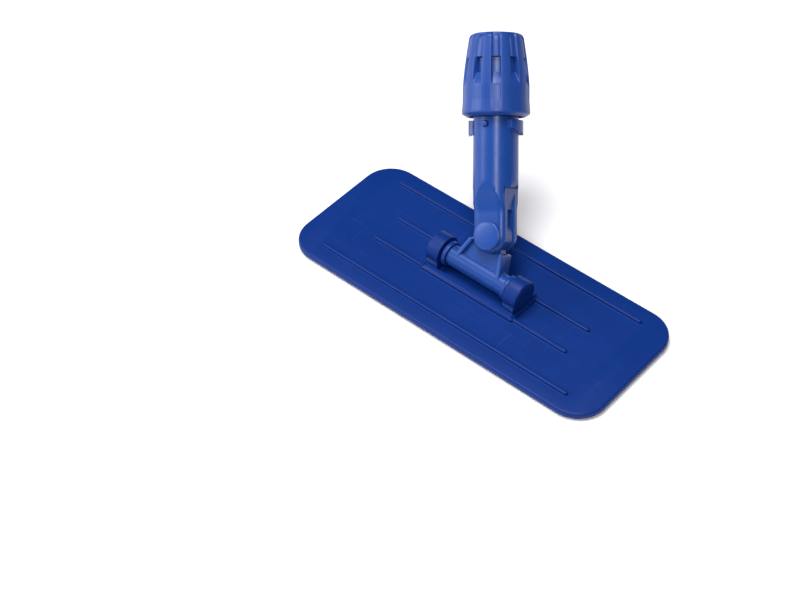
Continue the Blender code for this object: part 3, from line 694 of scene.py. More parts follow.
@dataclass(frozen=True)
class DrawnSteel:
    """Bright drawn or stamped steel with fine lines along one direction."""

    name: str
    along: tuple[float, float, float]
    colour: tuple[float, float, float] = (0.58, 0.59, 0.61)
    roughness: float = 0.27

    def material(self) -> bpy.types.Material:
        """Builds the material."""
        desk = Desk(self.name)
        lines = desk.noise(desk.coordinates(self.along), 42.0, 4.0)
        stain = desk.noise(desk.coordinates(), 140.0, 4.0, 0.6)
        colour = desk.mix(lines, tint(self.colour, 0.82), tint(self.colour, 1.08))
        dull = desk.ramp(stain, (0.52, 0.0), (0.80, 1.0))
        colour = desk.mix(dull * 0.4, colour, (0.30, 0.27, 0.24, 1.0))
        rough = self.roughness + lines * 0.14 + dull * 0.22
        relief = desk.node(
            "ShaderNodeBump", {}, {"Strength": 0.35, "Distance": 0.00003, "Height": lines}
        )
        desk.shader.inputs["Metallic"].default_value = 1.0
        return desk.dress(Base_Color=colour, Roughness=rough.clamped(), Normal=relief)


@dataclass(frozen=True)
class HookNylon:
    """Black nylon of moulded hooks, with lint grey in the hollows."""

    name: str
    colour: tuple[float, float, float] = (0.016, 0.017, 0.019)
    roughness: float = 0.52

    def material(self) -> bpy.types.Material:
        """Builds the material."""
        desk = Desk(self.name)
        place = desk.coordinates()
        patch = desk.noise(place, 60.0, 4.0, 0.5)
        fuzz = desk.noise(place, 900.0, 3.0)
        lint = desk.ramp(patch * 0.55 + fuzz * 0.45, (0.54, 0.0), (0.72, 1.0))
        colour = desk.mix(patch, tint(self.colour, 0.75), tint(self.colour, 1.6))
        colour = desk.mix(lint * 0.35, colour, (0.085, 0.088, 0.095, 1.0))
        rough = self.roughness + lint * 0.25 + (fuzz - 0.5) * 0.12
        relief = desk.node(
            "ShaderNodeBump", {}, {"Strength": 0.5, "Distance": 0.00005, "Height": fuzz + lint}
        )
        return desk.dress(Base_Color=colour, Roughness=rough.clamped(), Normal=relief)


class Finish(Enum):
    """The finishes of this object."""

    PLATE = MouldedPlastic("plate_blue", (0.0010, 0.027, 0.188), 0.46, grain=1.4, gloss=0.2)
    SWIVEL = MouldedPlastic("swivel_blue", (0.0100, 0.058, 0.285), 0.32, grain=0.6, gloss=0.35)
    COLLAR = MouldedPlastic("collar_blue", (0.0130, 0.060, 0.290), 0.37, grain=0.7, scratches=1.2)
    PIN = MouldedPlastic("pin_blue", (0.0140, 0.066, 0.305), 0.34, grain=0.6)
    BUSH = MouldedPlastic("bush_blue", (0.0040, 0.042, 0.255), 0.40, grain=0.8, scratches=0.4)
    COLLET = MouldedPlastic(
        "collet_blue", (0.0020, 0.026, 0.170), 0.62, grain=0.8, scratches=0.8, gloss=0.08
    )
    AXLE_STEEL = DrawnSteel("axle_steel", (1.0, 40.0, 40.0))
    WASHER_STEEL = DrawnSteel("washer_steel", (30.0, 30.0, 30.0))
    HOOKS = HookNylon("hook_nylon")


class Paintbox:
    """Builds each finish once and hands it out."""

    def __init__(self) -> None:
        """Starts with no finish built."""
        self._built: dict[Finish, bpy.types.Material] = {}

    def get(self, finish: Finish) -> bpy.types.Material:
        """The material of a finish."""
        if finish not in self._built:
            self._built[finish] = finish.value.material()
        return self._built[finish]


# ---------------------------------------------------------------- plate


@dataclass
class PadPlate:
    """The flat plate with its ribs, its plinth and the two bosses that hold the axle."""

    paint: Paintbox
    corner: float = 0.020
    top_edge: float = 0.0015
    bottom_edge: float = 0.0008
    thick: float = 0.004
    rib_width: float = 0.0028
    rib_height: float = 0.0018
    rib_edge: float = 0.0009
    rib_margin: float = 0.0212
    outer_rib_inset: float = 0.0121
    inner_rib_offset: float = 0.0110
    inner_rib_margin: float = 0.0408
    plinth_width: float = 0.027
    plinth_height: float = 0.003
    plinth_slope: float = 0.0026
    plinth_end: float = 0.0010
    plinth_corner: float = 0.0015
    well_width: float = 0.018
    well_floor: float = 0.0008
    boss_inner: float = 0.0250
    boss_thick: float = 0.0093
    boss_radius: float = 0.010
    boss_edge: float = 0.0011
    foot_half: float = 0.0096
    plug_radius: float = 0.0072
    plug_thick: float = 0.0028
    axle_radius: float = 0.0030
    pocket_corner: float = 0.0028
    sink: float = 0.0010
    fillet: float = 0.00032

    def __post_init__(self) -> None:
        """Takes the plate's outline and the axle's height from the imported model."""
        low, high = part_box("pad_plate")
        self.half_length, self.half_width = (high.x - low.x) / 2, (high.y - low.y) / 2
        self.axle_z = JOINTS["yoke_swing"]["pos_m"][2]
        self.boss_outer = self.boss_inner + self.boss_thick

    def rib(self, start: float, end: float, y: float) -> Form:
        """A low bar with round ends between two places on X."""
        low = (min(start, end), y - self.rib_width / 2, self.thick - self.sink)
        high = (max(start, end), y + self.rib_width / 2, self.thick + self.rib_height)
        return slab(low, high, 0.46 * self.rib_width, self.rib_edge)

    def ribs(self) -> list[Form]:
        """The long outer pair and the four short ones that end under the bosses."""
        outer_end = self.half_length - self.rib_margin
        inner_end = self.half_length - self.inner_rib_margin
        outer_y = self.half_width - self.outer_rib_inset
        start = self.boss_inner + self.boss_thick / 2
        found = [self.rib(-outer_end, outer_end, side * outer_y) for side in (-1, 1)]
        for side in (-1, 1):
            y = side * self.inner_rib_offset
            found += [self.rib(end * start, end * inner_end, y) for end in (-1, 1)]
        return found

    def plinth(self) -> Form:
        """The low step under the axle, with sloping sides."""
        half = self.boss_outer + self.plinth_end
        low = (-half, -self.plinth_width / 2, self.thick - self.sink)
        high = (half, self.plinth_width / 2, self.thick + self.plinth_height)
        form = Form.block(low, high).softened(self.plinth_corner, 5, runs_along(2))
        return form.softened(self.plinth_slope, 1, at_level(2, high[2]))

    def boss(self, side: int) -> Form:
        """One round boss, its outer rim rounded."""
        radius, thick = self.boss_radius, self.boss_thick
        edge = self.boss_edge
        rim = arc((radius - edge, thick - edge), edge, math.pi / 2, 0, 6)
        form = Form.turned([(0, thick), *rim, (radius, 0), (0, 0)], ROUND_STEPS, loop=False)
        lay = laid_along_x(side, side * self.boss_inner)
        return form.moved(Matrix.Translation((0, 0, self.axle_z)) @ lay)

    def foot(self, side: int) -> Form:
        """The block that carries a boss down to the plate."""
        near, far = sorted((side * self.boss_inner, side * (self.boss_outer - self.boss_edge)))
        low = (near, -self.foot_half, self.thick - self.sink)
        return Form.block(low, (far, self.foot_half, self.axle_z))

    def bore(self, radius: float, start: float, end: float) -> Form:
        """A round cutter along the axle."""
        return Form.rod(radius, (start, 0, self.axle_z), (end, 0, self.axle_z), ROUND_STEPS)

    def pocket(self, node: str) -> Form:
        """The shallow recess that a hook strip is bonded into."""
        low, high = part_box(node)
        grow = Vector((PRESS_GAP, PRESS_GAP, PRESS_GAP))
        low, high = low - grow, high + grow
        form = Form.block((low.x, low.y, -self.thick), high)
        return form.softened(self.pocket_corner, 6, runs_along(2))

    def build(self) -> None:
        """Builds the plate as one moulding."""
        form = slab(
            (-self.half_length, -self.half_width, 0),
            (self.half_length, self.half_width, self.thick),
            self.corner,
            self.top_edge,
            self.bottom_edge,
        )
        well = Form.block(
            (-self.boss_inner, -self.well_width / 2, self.thick + self.well_floor),
            (self.boss_inner, self.well_width / 2, self.axle_z),
        )
        sides = (-1, 1)
        seat_floor = self.boss_outer - self.plug_thick - PRESS_GAP
        seat, seat_end = self.plug_radius + PRESS_GAP, self.boss_outer + REACH
        seats = [self.bore(seat, side * seat_floor, side * seat_end) for side in sides]
        form.worked(
            (Work.JOIN, [self.plinth()]),
            (Work.CUT, [well]),
            (Work.JOIN, self.ribs()),
            (Work.JOIN, [make(side) for side in sides for make in (self.foot, self.boss)]),
            (Work.CUT, [self.bore(self.axle_radius + PRESS_GAP, -seat_floor, seat_floor)]),
            (Work.CUT, seats),
            (Work.CUT, [self.pocket("hook_strip_front"), self.pocket("hook_strip_rear")]),
        )
        setting = Setting("base", "plate_plastic", self.paint.get(Finish.PLATE), ("pad_plate",))
        setting.place(form, "plate_moulding", Matrix.Identity(4), self.fillet)


@dataclass
class HookStrips:
    """The two bonded tapes whose moulded hooks grip a scouring pad."""

    paint: Paintbox
    tape_thick: float = 0.0009
    pitch_x: float = 0.00178
    pitch_y: float = 0.00178
    margin: float = 0.0008
    corner: float = 0.003
    stalk: float = 0.00020
    head: float = 0.00046
    head_thick: float = 0.00034

    def hook(self, top: float, bottom: float) -> Form:
        """One mushroom hook, hanging head down from the tape."""
        under = bottom + self.head_thick
        profile = [
            (0, bottom),
            (self.head * 0.62, bottom + 0.10 * self.head_thick),
            (self.head, bottom + 0.62 * self.head_thick),
            (self.head * 0.86, under),
            (self.stalk, under + 0.00008),
            (self.stalk * 1.25, top),
        ]
        return Form.turned([*profile, (0, top)], 8, loop=False)

    def build(self) -> None:
        """Builds both strips, each one piece of tape and hooks."""
        for name in ("hook_strip_front", "hook_strip_rear"):
            low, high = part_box(name)
            base = high.z - self.tape_thick
            tape = Form.block((low.x, low.y, base), high)
            tape.softened(self.corner, 8, runs_along(2)).softened(0.0002, 2, at_level(2, base))
            across = int((high.y - low.y - 2 * self.margin) / self.pitch_y)
            along = int((high.x - low.x - 2 * self.margin) / self.pitch_x)
            start_x = (low.x + high.x - (along - 1) * self.pitch_x) / 2
            start_y = (low.y + high.y - (across - 1) * self.pitch_y) / 2
            hooks = self.hook(base + 0.0001, low.z).moved(Matrix.Translation((start_x, start_y, 0)))
            hooks.repeated(across, (0, self.pitch_y, 0)).repeated(along, (self.pitch_x, 0, 0))
            mesh = bpy.data.meshes.new("tape")
            tape.bm.to_mesh(mesh)
            hooks.bm.from_mesh(mesh)
            bpy.data.meshes.remove(mesh)
            setting = Setting("base", "hook_tape", self.paint.get(Finish.HOOKS), (name,))
            setting.place(hooks, f"{name}_hooks", Matrix.Identity(4))


@dataclass
class AxleSet:
    """The plugs that close the bosses and the flanged bushes that the yoke runs on."""

    paint: Paintbox
    plug_radius: float = 0.00744
    plug_thick: float = 0.0028
    plug_edge: float = 0.00035
    dish: float = 0.00035
    boss_outer: float = 0.0343
    bush_bore: float = 0.0031
    bush_radius: float = 0.0049
    flange_radius: float = 0.0080
    flange_thick: float = 0.0026
    yoke_half: float = 0.0210
    bush_depth: float = 0.012
    bush_edge: float = 0.0003
    groove: float = 0.00045

    def plug(self) -> Form:
        """A plug with a rounded rim and a shallow dish in its face."""
        radius, thick = self.plug_radius, self.plug_thick
        low = thick - self.dish
        face = [(0, low), (radius * 0.60, low), (radius * 0.74, thick)]
        profile = [*face, (radius, thick), (radius, 0), (0, 0)]
        return Form.turned(eased(profile, self.plug_edge, 4, loop=False), ROUND_STEPS, loop=False)

    def bush(self) -> Form:
        """A bush whose flange has a groove near its rim."""
        start = self.yoke_half - self.bush_depth
        foot = self.yoke_half + PRESS_GAP
        top = foot + self.flange_thick
        low = top - self.groove
        rim = [
            (self.bush_bore, start),
            (self.bush_bore, top),
            (self.flange_radius - 0.0026, top),
            (self.flange_radius - 0.0024, low),
            (self.flange_radius - 0.0013, low),
            (self.flange_radius - 0.0011, top),
            (self.flange_radius, top),
            (self.flange_radius, foot),
            (self.bush_radius, foot),
            (self.bush_radius, start),
        ]
        return Form.turned(eased(rim, self.bush_edge, 3), ROUND_STEPS)

    def build(self) -> None:
        """Builds the plugs and the bushes."""
        centre = Matrix.Translation(Vector(JOINTS["yoke_swing"]["pos_m"]))
        for side, word in ((-1, "left"), (1, "right")):
            plugs = Setting(
                "base", "plug_plastic", self.paint.get(Finish.PLATE), (f"axle_plug_{word}",)
            )
            lay = laid_along_x(side, side * (self.boss_outer - self.plug_thick))
            plugs.place(self.plug(), f"boss_plug_{word}", centre @ lay)
            bushes = Setting(
                "yoke", "bush_plastic", self.paint.get(Finish.BUSH), (f"yoke_bush_{word}",)
            )
            lay = laid_along_x(side, 0)
            bushes.place(self.bush(), f"flanged_bush_{word}", yoke_berth().matrix() @ lay)


# ---------------------------------------------------------------- yoke


@dataclass
class SwivelYoke:
    """The tube on the axle, its web and two flanges, and the eye for the swivel pin."""

    paint: Paintbox
    tube_radius: float = 0.0065
    tube_half: float = 0.0210
    bush_bore: float = 0.0052
    web_half: float = 0.0034
    eye_radius: float = 0.0098
    pin_bore: float = 0.0056
    flange_foot_x: float = 0.0172
    flange_foot_z: float = 0.0010
    flange_top_x: float = 0.0124
    flange_top_drop: float = 0.0067
    flange_thick: float = 0.0026
    flange_half_depth: float = 0.0060
    flange_edge: float = 0.0009
    flange_corner: float = 0.0008
    ear_room: float = 0.0113
    washer_gap: float = 0.0002
    fillet: float = 0.0003

    def __post_init__(self) -> None:
        """Measures how far the pin stands above the axle."""
        rise = Vector(JOINTS["stem_tilt"]["pos_m"]) - Vector(JOINTS["yoke_swing"]["pos_m"])
        self.pin_rise = rise.length

    def flange(self, side: int) -> Form:
        """A leaning bar from the tube up to the fork, with room for the ears to swing."""
        top_z = self.pin_rise - self.flange_top_drop
        outer = [(self.flange_foot_x, self.flange_foot_z), (self.flange_top_x, top_z)]
        inner = [(x - self.flange_thick, z) for x, z in reversed(outer)]
        outline = [(side * x, z) for x, z in outer + inner]
        form = Form.prism(eased(outline, self.flange_corner, 4), self.flange_half_depth)
        for level in (-self.flange_half_depth, self.flange_half_depth):
            form.softened(self.flange_edge, 4, at_level(1, level))
        rooms = []
        for face in (-1, 1):
            near = (0, face * (self.web_half + self.washer_gap), self.pin_rise)
            far = (0, face * REACH, self.pin_rise)
            rooms.append(Form.rod(self.ear_room, near, far, FINE_STEPS))
        return form.worked((Work.CUT, rooms))

    def web(self) -> Form:
        """The flat wall between the flanges, up to the eye."""
        inset = self.flange_thick / 2
        foot_x, top_x = self.flange_foot_x - inset, self.flange_top_x - inset
        level, top = self.pin_rise - self.eye_radius + inset, self.pin_rise - self.eye_radius / 2
        half = [(foot_x, self.flange_foot_z), (top_x, level), (self.eye_radius * 0.85, top)]
        outline = half + [(-x, z) for x, z in reversed(half)]
        return Form.prism(outline, self.web_half)

    def build(self) -> None:
        """Builds the yoke as one moulding."""
        tube_ends = (-self.tube_half, 0, 0), (self.tube_half, 0, 0)
        form = Form.rod(self.tube_radius, *tube_ends, FINE_STEPS)
        pin_ends = (0, -self.web_half, self.pin_rise), (0, self.web_half, self.pin_rise)
        bore_ends = (0, -REACH, self.pin_rise), (0, REACH, self.pin_rise)
        form.worked(
            (Work.JOIN, [self.web(), Form.rod(self.eye_radius, *pin_ends, FINE_STEPS)]),
            (Work.JOIN, [self.flange(-1), self.flange(1)]),
            (Work.CUT, [Form.rod(self.bush_bore, (-REACH, 0, 0), (REACH, 0, 0))]),
            (Work.CUT, [Form.rod(self.pin_bore, *bore_ends)]),
        )
        setting = Setting("yoke", "swivel_plastic", self.paint.get(Finish.SWIVEL), ("swivel_yoke",))
        setting.place(form, "yoke_moulding", yoke_berth().matrix(), self.fillet)


@dataclass
class SwivelPin:
    """The pin with its low domed head, and the cap pressed on its tip."""

    paint: Paintbox
    fork_half: float = 0.00975
    shank_radius: float = 0.0040
    head_radius: float = 0.0087
    head_thick: float = 0.0024
    tip_radius: float = 0.0030
    cap_radius: float = 0.0075
    cap_thick: float = 0.0026
    cap_edge: float = 0.001
    rim: float = 0.0010
    foot_edge: float = 0.0002

    def head(self) -> list[Point]:
        """The head's outline from the middle of its crown down to its rim's foot."""
        points: list[Point] = []
        for angle in spread(0.0, math.pi / 2, 14):
            out = self.head_radius * math.sin(angle) ** 0.9
            up = self.rim + (self.head_thick - self.rim) * math.cos(angle) ** 0.75
            points.append((out, PRESS_GAP + up))
        foot = (self.head_radius - self.foot_edge, PRESS_GAP)
        return [*points, (self.head_radius, PRESS_GAP + self.foot_edge), foot]

    def build(self) -> None:
        """Builds the pin and its cap."""
        foot = -2 * self.fork_half
        tip = foot - self.cap_thick / 2
        shank = [(self.shank_radius, PRESS_GAP), (self.shank_radius, foot)]
        end = [(self.tip_radius, foot), (self.tip_radius, tip), (0, tip)]
        pin = Form.turned([*self.head(), *shank, *end], ROUND_STEPS, loop=False)
        berth = stem_berth().matrix()
        material = self.paint.get(Finish.PIN)
        setting = Setting("stem", "pin_plastic", material, ("pivot_pin",))
        setting.place(pin, "swivel_pin", berth @ laid_along_y(-1, -self.fork_half))
        bore, blind = self.tip_radius + PRESS_GAP, self.cap_thick / 2 + PRESS_GAP
        crown = [(0, self.cap_thick), (self.cap_radius, self.cap_thick), (self.cap_radius, 0)]
        outer = eased(crown, self.cap_edge, 5, loop=False)
        cap = Form.turned([*outer, (bore, 0), (bore, blind), (0, blind)], ROUND_STEPS, loop=False)
        setting = Setting("stem", "pin_plastic", material, ("pin_retainer",))
        setting.place(cap, "pin_cap", berth @ laid_along_y(1, self.fork_half + PRESS_GAP))


# ---------------------------------------------------------------- socket


@dataclass
class PoleSocket:
    """The tube that takes the pole, with a fork at its foot and bayonet lugs under its collar."""

    paint: Paintbox
    bore: float = 0.0119
    floor: float = 0.0345
    tube: float = 0.01355
    head_foot: float = 0.0865
    head: float = 0.0149
    head_slope: float = 0.0015
    taper_foot: float = 0.0915
    taper_foot_radius: float = 0.0130
    top: float = 0.1060
    taper_top_radius: float = 0.0142
    ear: float = 0.0105
    cushion: float = 0.0052
    cushion_start: float = 0.0062
    fork_half: float = 0.00975
    fork_top: float = 0.0282
    slot_half: float = 0.0044
    slot_top: float = 0.0154
    face_start: float = 0.0135
    face_end: float = 0.0350
    scoop_depth: float = 0.0014
    scoop_top: float = 0.0326
    pin_bore: float = 0.0043
    lug_proud: float = 0.0028
    lug_foot: float = 0.0598
    lug_top: float = 0.0686
    lug_rise: float = 0.0040
    lug_arc: float = math.radians(58)
    lug_sink: float = 0.0008
    peg_radius: float = 0.00175
    peg_proud: float = 0.0016
    peg_height: float = 0.0662
    peg_gap: float = 0.0002
    peg_edge: float = 0.0008
    fillet: float = 0.00028

    def section(self) -> list[Point]:
        """The tube's wall from the middle of the pole's seat round to the fork's foot."""
        inside = [
            (0, self.floor),
            (self.bore, self.floor),
            (self.bore, self.taper_foot),
            (self.taper_foot_radius, self.taper_foot),
            (self.taper_top_radius, self.top),
        ]
        outside = [
            (self.head, self.top),
            (self.head, self.head_foot + self.head_slope),
            *[(self.tube, z) for z in spread(self.head_foot, -self.ear - PRESS_GAP, 24)],
        ]
        return [*inside, *outside, (0, -self.ear - PRESS_GAP)]

    def ear_outline(self) -> Form:
        """What is cut away round the two ears, leaving straight sides and round ends."""
        ends = arc((0, 0), self.ear, 0, -math.pi, 48)
        outline = [(REACH, -REACH), (REACH, self.fork_top), (self.ear, self.fork_top), *ends]
        outline += [(-self.ear, self.fork_top), (-REACH, self.fork_top), (-REACH, -REACH)]
        return Form.prism(outline, REACH)

    def face_depth(self, x: float, z: float) -> float:
        """How far from the middle an ear's outer face lies, its rim rounded over."""
        out = math.hypot(x, min(z, 0.0)) - self.cushion_start
        fall = self.cushion - math.sqrt(max(self.cushion**2 - max(out, 0.0) ** 2, 1e-8))
        swell = ramped(z, self.face_start, self.face_end)
        gain = self.tube + PRESS_GAP - self.fork_half
        return self.fork_half - fall * (1 - swell) + gain * swell

    def face(self, side: int) -> Form:
        """What is cut away outside one ear: a cushioned flat that swells out into the tube."""
        xs = [-REACH / 2, *spread(-self.tube, self.tube, 56), REACH / 2]
        zs = [-REACH, *spread(-self.ear - 2 * PRESS_GAP, self.face_end, 96)]
        form = Form.cushion(xs, zs, self.face_depth)
        return form.moved(Matrix.Rotation(math.pi * (side < 0), 4, "Z"))

    def scoop(self, turn: float) -> Form:
        """The hollow above the slot, on one side of the tube."""
        depth = self.ear - self.scoop_depth
        foot = self.slot_top - PRESS_GAP
        curve = runout((depth, self.slot_top), (self.tube + PRESS_GAP, self.scoop_top), 20)
        outline = [(depth, foot), *curve, (REACH, self.scoop_top), (REACH, foot)]
        return Form.prism(outline, self.slot_half).moved(Matrix.Rotation(turn, 4, "Z"))

    def lug(self, middle: float) -> Form:
        """A bayonet lug whose lower edge climbs like a thread.

        Args:
            middle: Angle of the lug's middle round the tube.

        Returns:
            The lug.
        """
        form = Form()
        inner, outer = self.tube - self.lug_sink, self.tube + self.lug_proud
        low, high = self.lug_foot, self.lug_top
        corners = [(inner, low), (outer, low), (outer, high), (inner, high)]
        face = form.bm.faces.new([form.bm.verts.new((x, 0, z)) for x, z in corners])
        bmesh.ops.spin(
            form.bm, geom=[face], cent=(0, 0, 0), axis=(0, 0, 1), angle=self.lug_arc, steps=20
        )
        for vert in form.bm.verts:
            if vert.co.z < (low + high) / 2:
                share = math.atan2(vert.co.y, vert.co.x) / self.lug_arc
                vert.co.z += self.lug_rise * (1 - share)
        return form.moved(Matrix.Rotation(middle - self.lug_arc / 2, 4, "Z"))

    def build(self) -> None:
        """Builds the socket as one moulding, with the stop peg pressed into its wall."""
        form = Form.turned(self.section(), FINE_STEPS, loop=False)
        slot = Form.block(
            (-REACH, -self.slot_half, -REACH), (REACH, self.slot_half, self.slot_top)
        )
        peg_ends = (0, 0, self.peg_height), (0, -REACH, self.peg_height)
        peg_hole = Form.rod(self.peg_radius + self.peg_gap, *peg_ends, SMALL_STEPS)
        form.worked(
            (Work.CUT, [self.ear_outline(), self.face(-1), self.face(1)]),
            (Work.CUT, [slot, self.scoop(0), self.scoop(math.pi)]),
            (Work.CUT, [Form.rod(self.pin_bore, (0, -REACH, 0), (0, REACH, 0))]),
            (Work.JOIN, [self.lug(0), self.lug(math.pi)]),
            (Work.CUT, [peg_hole]),
        )
        berth = stem_berth().matrix()
        material = self.paint.get(Finish.SWIVEL)
        setting = Setting("stem", "swivel_plastic", material, ("pole_socket",))
        setting.place(form, "socket_moulding", berth, self.fillet)
        self.build_peg(berth, material)

    def build_peg(self, berth: Matrix, material: bpy.types.Material) -> None:
        """Builds the stop peg, its tip rounded."""
        foot, tip = self.bore + PRESS_GAP, self.tube + self.peg_proud
        profile = [(0, tip), (self.peg_radius, tip), (self.peg_radius, foot), (0, foot)]
        peg = Form.turned(eased(profile, self.peg_edge, 6, loop=False), SMALL_STEPS, loop=False)
        setting = Setting("stem", "swivel_plastic", material, ("collar_stop_peg",))
        lay = Matrix.Translation((0, 0, self.peg_height)) @ laid_along_y(-1, 0)
        setting.place(peg, "stop_peg", berth @ lay)


@dataclass
class GripCollet:
    """The split ring that closes on the pole, and the ring that presses it down."""

    paint: Paintbox
    bore: float = 0.0121
    foot: float = 0.0962
    foot_radius: float = 0.01284
    neck_foot: float = 0.1060
    neck: float = 0.01365
    flange_foot: float = 0.1112
    flange: float = 0.0142
    flange_thick: float = 0.0022
    slit: float = 0.0016
    groove: float = 0.00016
    groove_pitch: float = 0.0016
    ring_bore: float = 0.0124
    ring_thick: float = 0.0013
    ring_edge: float = 0.0003
    fillet: float = 0.00015

    def bore_line(self) -> list[Point]:
        """The bore's wall, with fine grooves that bite on the pole."""
        points: list[Point] = [(self.bore, self.foot)]
        notch = ((0.0, 0.0), (0.15, self.groove), (0.30, self.groove), (0.45, 0.0))
        height = self.foot + self.groove_pitch
        while height < self.flange_foot:
            points += [(self.bore + deep, height + self.groove_pitch * up) for up, deep in notch]
            height += self.groove_pitch
        return points

    def build(self) -> None:
        """Builds the collet and its thrust ring."""
        top = self.flange_foot + self.flange_thick
        profile = self.bore_line() + [
            (self.bore, top),
            (self.flange, top),
            (self.flange, self.flange_foot),
            (self.neck, self.flange_foot),
            (self.neck, self.neck_foot),
            (self.foot_radius, self.foot),
        ]
        collet = Form.turned(profile, FINE_STEPS)
        half = self.slit / 2
        cut = Form.block((0, -half, self.foot - self.slit), (REACH, half, top + self.slit))
        collet.worked((Work.CUT, [cut]))
        berth = stem_berth().matrix()
        material = self.paint.get(Finish.COLLET)
        setting = Setting("collet", "collet_plastic", material, ("grip_collet",))
        setting.place(collet, "split_collet", berth, self.fillet)
        foot = top + PRESS_GAP
        section = [
            (self.ring_bore, foot),
            (self.ring_bore, foot + self.ring_thick),
            (self.flange, foot + self.ring_thick),
            (self.flange, foot),
        ]
        ring = Form.turned(eased(section, self.ring_edge, 3), FINE_STEPS)
        material = self.paint.get(Finish.WASHER_STEEL)
        setting = Setting("collet", "steel", material, ("collar_thrust_ring",))
        setting.place(ring, "thrust_ring", berth)


# ---------------------------------------------------------------- collar


@dataclass
class LockingCollar:
    """The fluted collar, with a tongue, a window and a ramp in each flute."""

    paint: Paintbox
    foot: float = 0.0707
    rim: float = 0.0725
    top: float = 0.1200
    rim_radius: float = 0.0204
    belly: float = 0.01985
    belly_height: float = 0.0880
    fullness: float = 1.4
    shoulder: float = 0.01657
    shoulder_height: float = 0.1157
    crown: float = 0.01327
    flare_top: float = 0.0800
    skirt: float = 0.0170
    skirt_top: float = 0.0786
    bead_foot: float = 0.0796
    bead_top: float = 0.0825
    bead: float = 0.01395
    cavity: float = 0.0152
    cavity_top: float = 0.1107
    chamber: float = 0.0145
    chamber_top: float = 0.1153
    mouth: float = 0.0124
    edge: float = 0.0006
    rim_edge: float = 0.00045
    flutes: int = 10
    flute_width: float = 0.0052
    flute_depth: float = 0.0011
    window_foot: float = 0.0961
    window_top: float = 0.1050
    ramp_foot: float = 0.0885
    channel_depth: float = 0.0003
    channel_foot: float = 0.0795
    tongue_half: float = 0.0017
    tongue_rise: float = 0.00055
    tongue_fade: float = 0.001
    crown_fade: float = 0.0012
    channel_fade: float = 0.004
    ramp_bend: float = 1.3
    flute_soft: float = 0.0005
    phase: float = math.radians(28)
    facets: int = 360

    def belly_radius(self, height: float) -> float:
        """Outer radius between the belly and the shoulder."""
        share = (self.shoulder_height - height) / (self.shoulder_height - self.belly_height)
        return self.belly - (self.belly - self.shoulder) * (1 - share) ** self.fullness

    def outside(self) -> list[Point]:
        """Points down the outside, from the crown to the foot."""
        points: list[Point] = []
        for angle in spread(0.0, math.pi / 2, 12):
            out = self.crown + (self.shoulder - self.crown) * math.sin(angle)
            up = self.shoulder_height + (self.top - self.shoulder_height) * math.cos(angle)
            points.append((out, up))
        for height in spread(self.shoulder_height, self.belly_height, 56)[1:]:
            points.append((self.belly_radius(height), height))
        for height in spread(self.belly_height, self.flare_top, 16)[1:]:
            points.append((self.belly, height))
        rim = [
            (self.rim_radius, self.rim + 2 * self.edge),
            (self.rim_radius, self.rim),
            (self.skirt + self.edge, self.foot),
            (self.skirt, self.foot),
        ]
        return points + eased([points[-1], *rim], self.rim_edge, 4, loop=False)[1:-1]

    def inside(self) -> list[Point]:
        """Points up the inside: skirt, snap bead, cavity, chamber and mouth."""
        return [
            (self.skirt, self.foot),
            (self.skirt, self.skirt_top),
            (self.bead, self.bead_foot),
            (self.bead, self.bead_top),
            (self.cavity, self.bead_top + self.edge),
            (self.cavity, self.cavity_top),
            (self.chamber, self.cavity_top),
            (self.chamber, self.chamber_top),
            (self.mouth, self.chamber_top),
            (self.mouth, self.top - self.edge),
            (self.mouth + self.edge, self.top),
        ]

    def trough(self, height: float) -> float:
        """How deep a flute is at a height."""
        if height > self.window_top:
            return self.flute_depth * (1 - ramped(height, self.top - self.crown_fade, self.top))
        if height > self.window_foot:
            return self.belly_radius(height) - self.cavity - self.flute_depth
        most = self.belly_radius(self.window_foot) - self.cavity - self.flute_depth
        if height > self.ramp_foot:
            share = (height - self.ramp_foot) / (self.window_foot - self.ramp_foot)
            return self.channel_depth + (most - self.channel_depth) * share**self.ramp_bend
        start = self.channel_foot - self.channel_fade
        return self.channel_depth * ramped(height, start, self.channel_foot)

    def carve(self, form: Form) -> Form:
        """Presses the flutes and their tongues into the outside of the collar."""
        pitch = FULL_TURN / self.flutes
        half, soft = self.flute_width / 2, self.flute_soft
        for vert in form.bm.verts:
            height, radius = vert.co.z, math.hypot(vert.co.x, vert.co.y)
            if radius < self.wall_middle(height):
                continue
            angle = math.atan2(vert.co.y, vert.co.x) - self.phase + math.pi / 2
            away = abs((angle / pitch + 0.5) % 1 - 0.5) * pitch * radius
            depth = self.trough(height) * (1 - ramped(away, half - soft, half + soft))
            if height > self.window_top:
                crest = 1 - ramped(away, self.tongue_half - soft, self.tongue_half + soft / 2)
                ends = self.shoulder_height - self.tongue_fade, self.top - self.tongue_fade
                fade = 1 - ramped(height, *ends)
                depth -= self.tongue_rise * crest * fade
            vert.co.x *= (radius - depth) / radius
            vert.co.y *= (radius - depth) / radius
        return form

    def wall_middle(self, height: float) -> float:
        """A radius between the inside and the outside of the wall."""
        if height > self.shoulder_height:
            return self.mouth + self.edge + PRESS_GAP / 2
        return (self.cavity if height > self.bead_foot else self.skirt) + PRESS_GAP

    def window(self, turn: float) -> Form:
        """The hole through the wall in one flute."""
        half = self.flute_width / 2 - self.flute_soft / 2
        low = (self.cavity - self.flute_depth, -half, self.window_foot)
        return Form.block(low, (REACH, half, self.window_top)).moved(Matrix.Rotation(turn, 4, "Z"))

    def build(self) -> None:
        """Builds the collar as one moulding."""
        form = self.carve(Form.turned([*self.inside(), *self.outside()], self.facets))
        turns = [self.phase - math.pi / 2 + FULL_TURN * i / self.flutes for i in range(self.flutes)]
        form.worked((Work.CUT, [self.window(turn) for turn in turns]))
        material = self.paint.get(Finish.COLLAR)
        setting = Setting("collar", "collar_plastic", material, ("locking_collar",))
        setting.place(form, "fluted_collar", stem_berth().matrix())


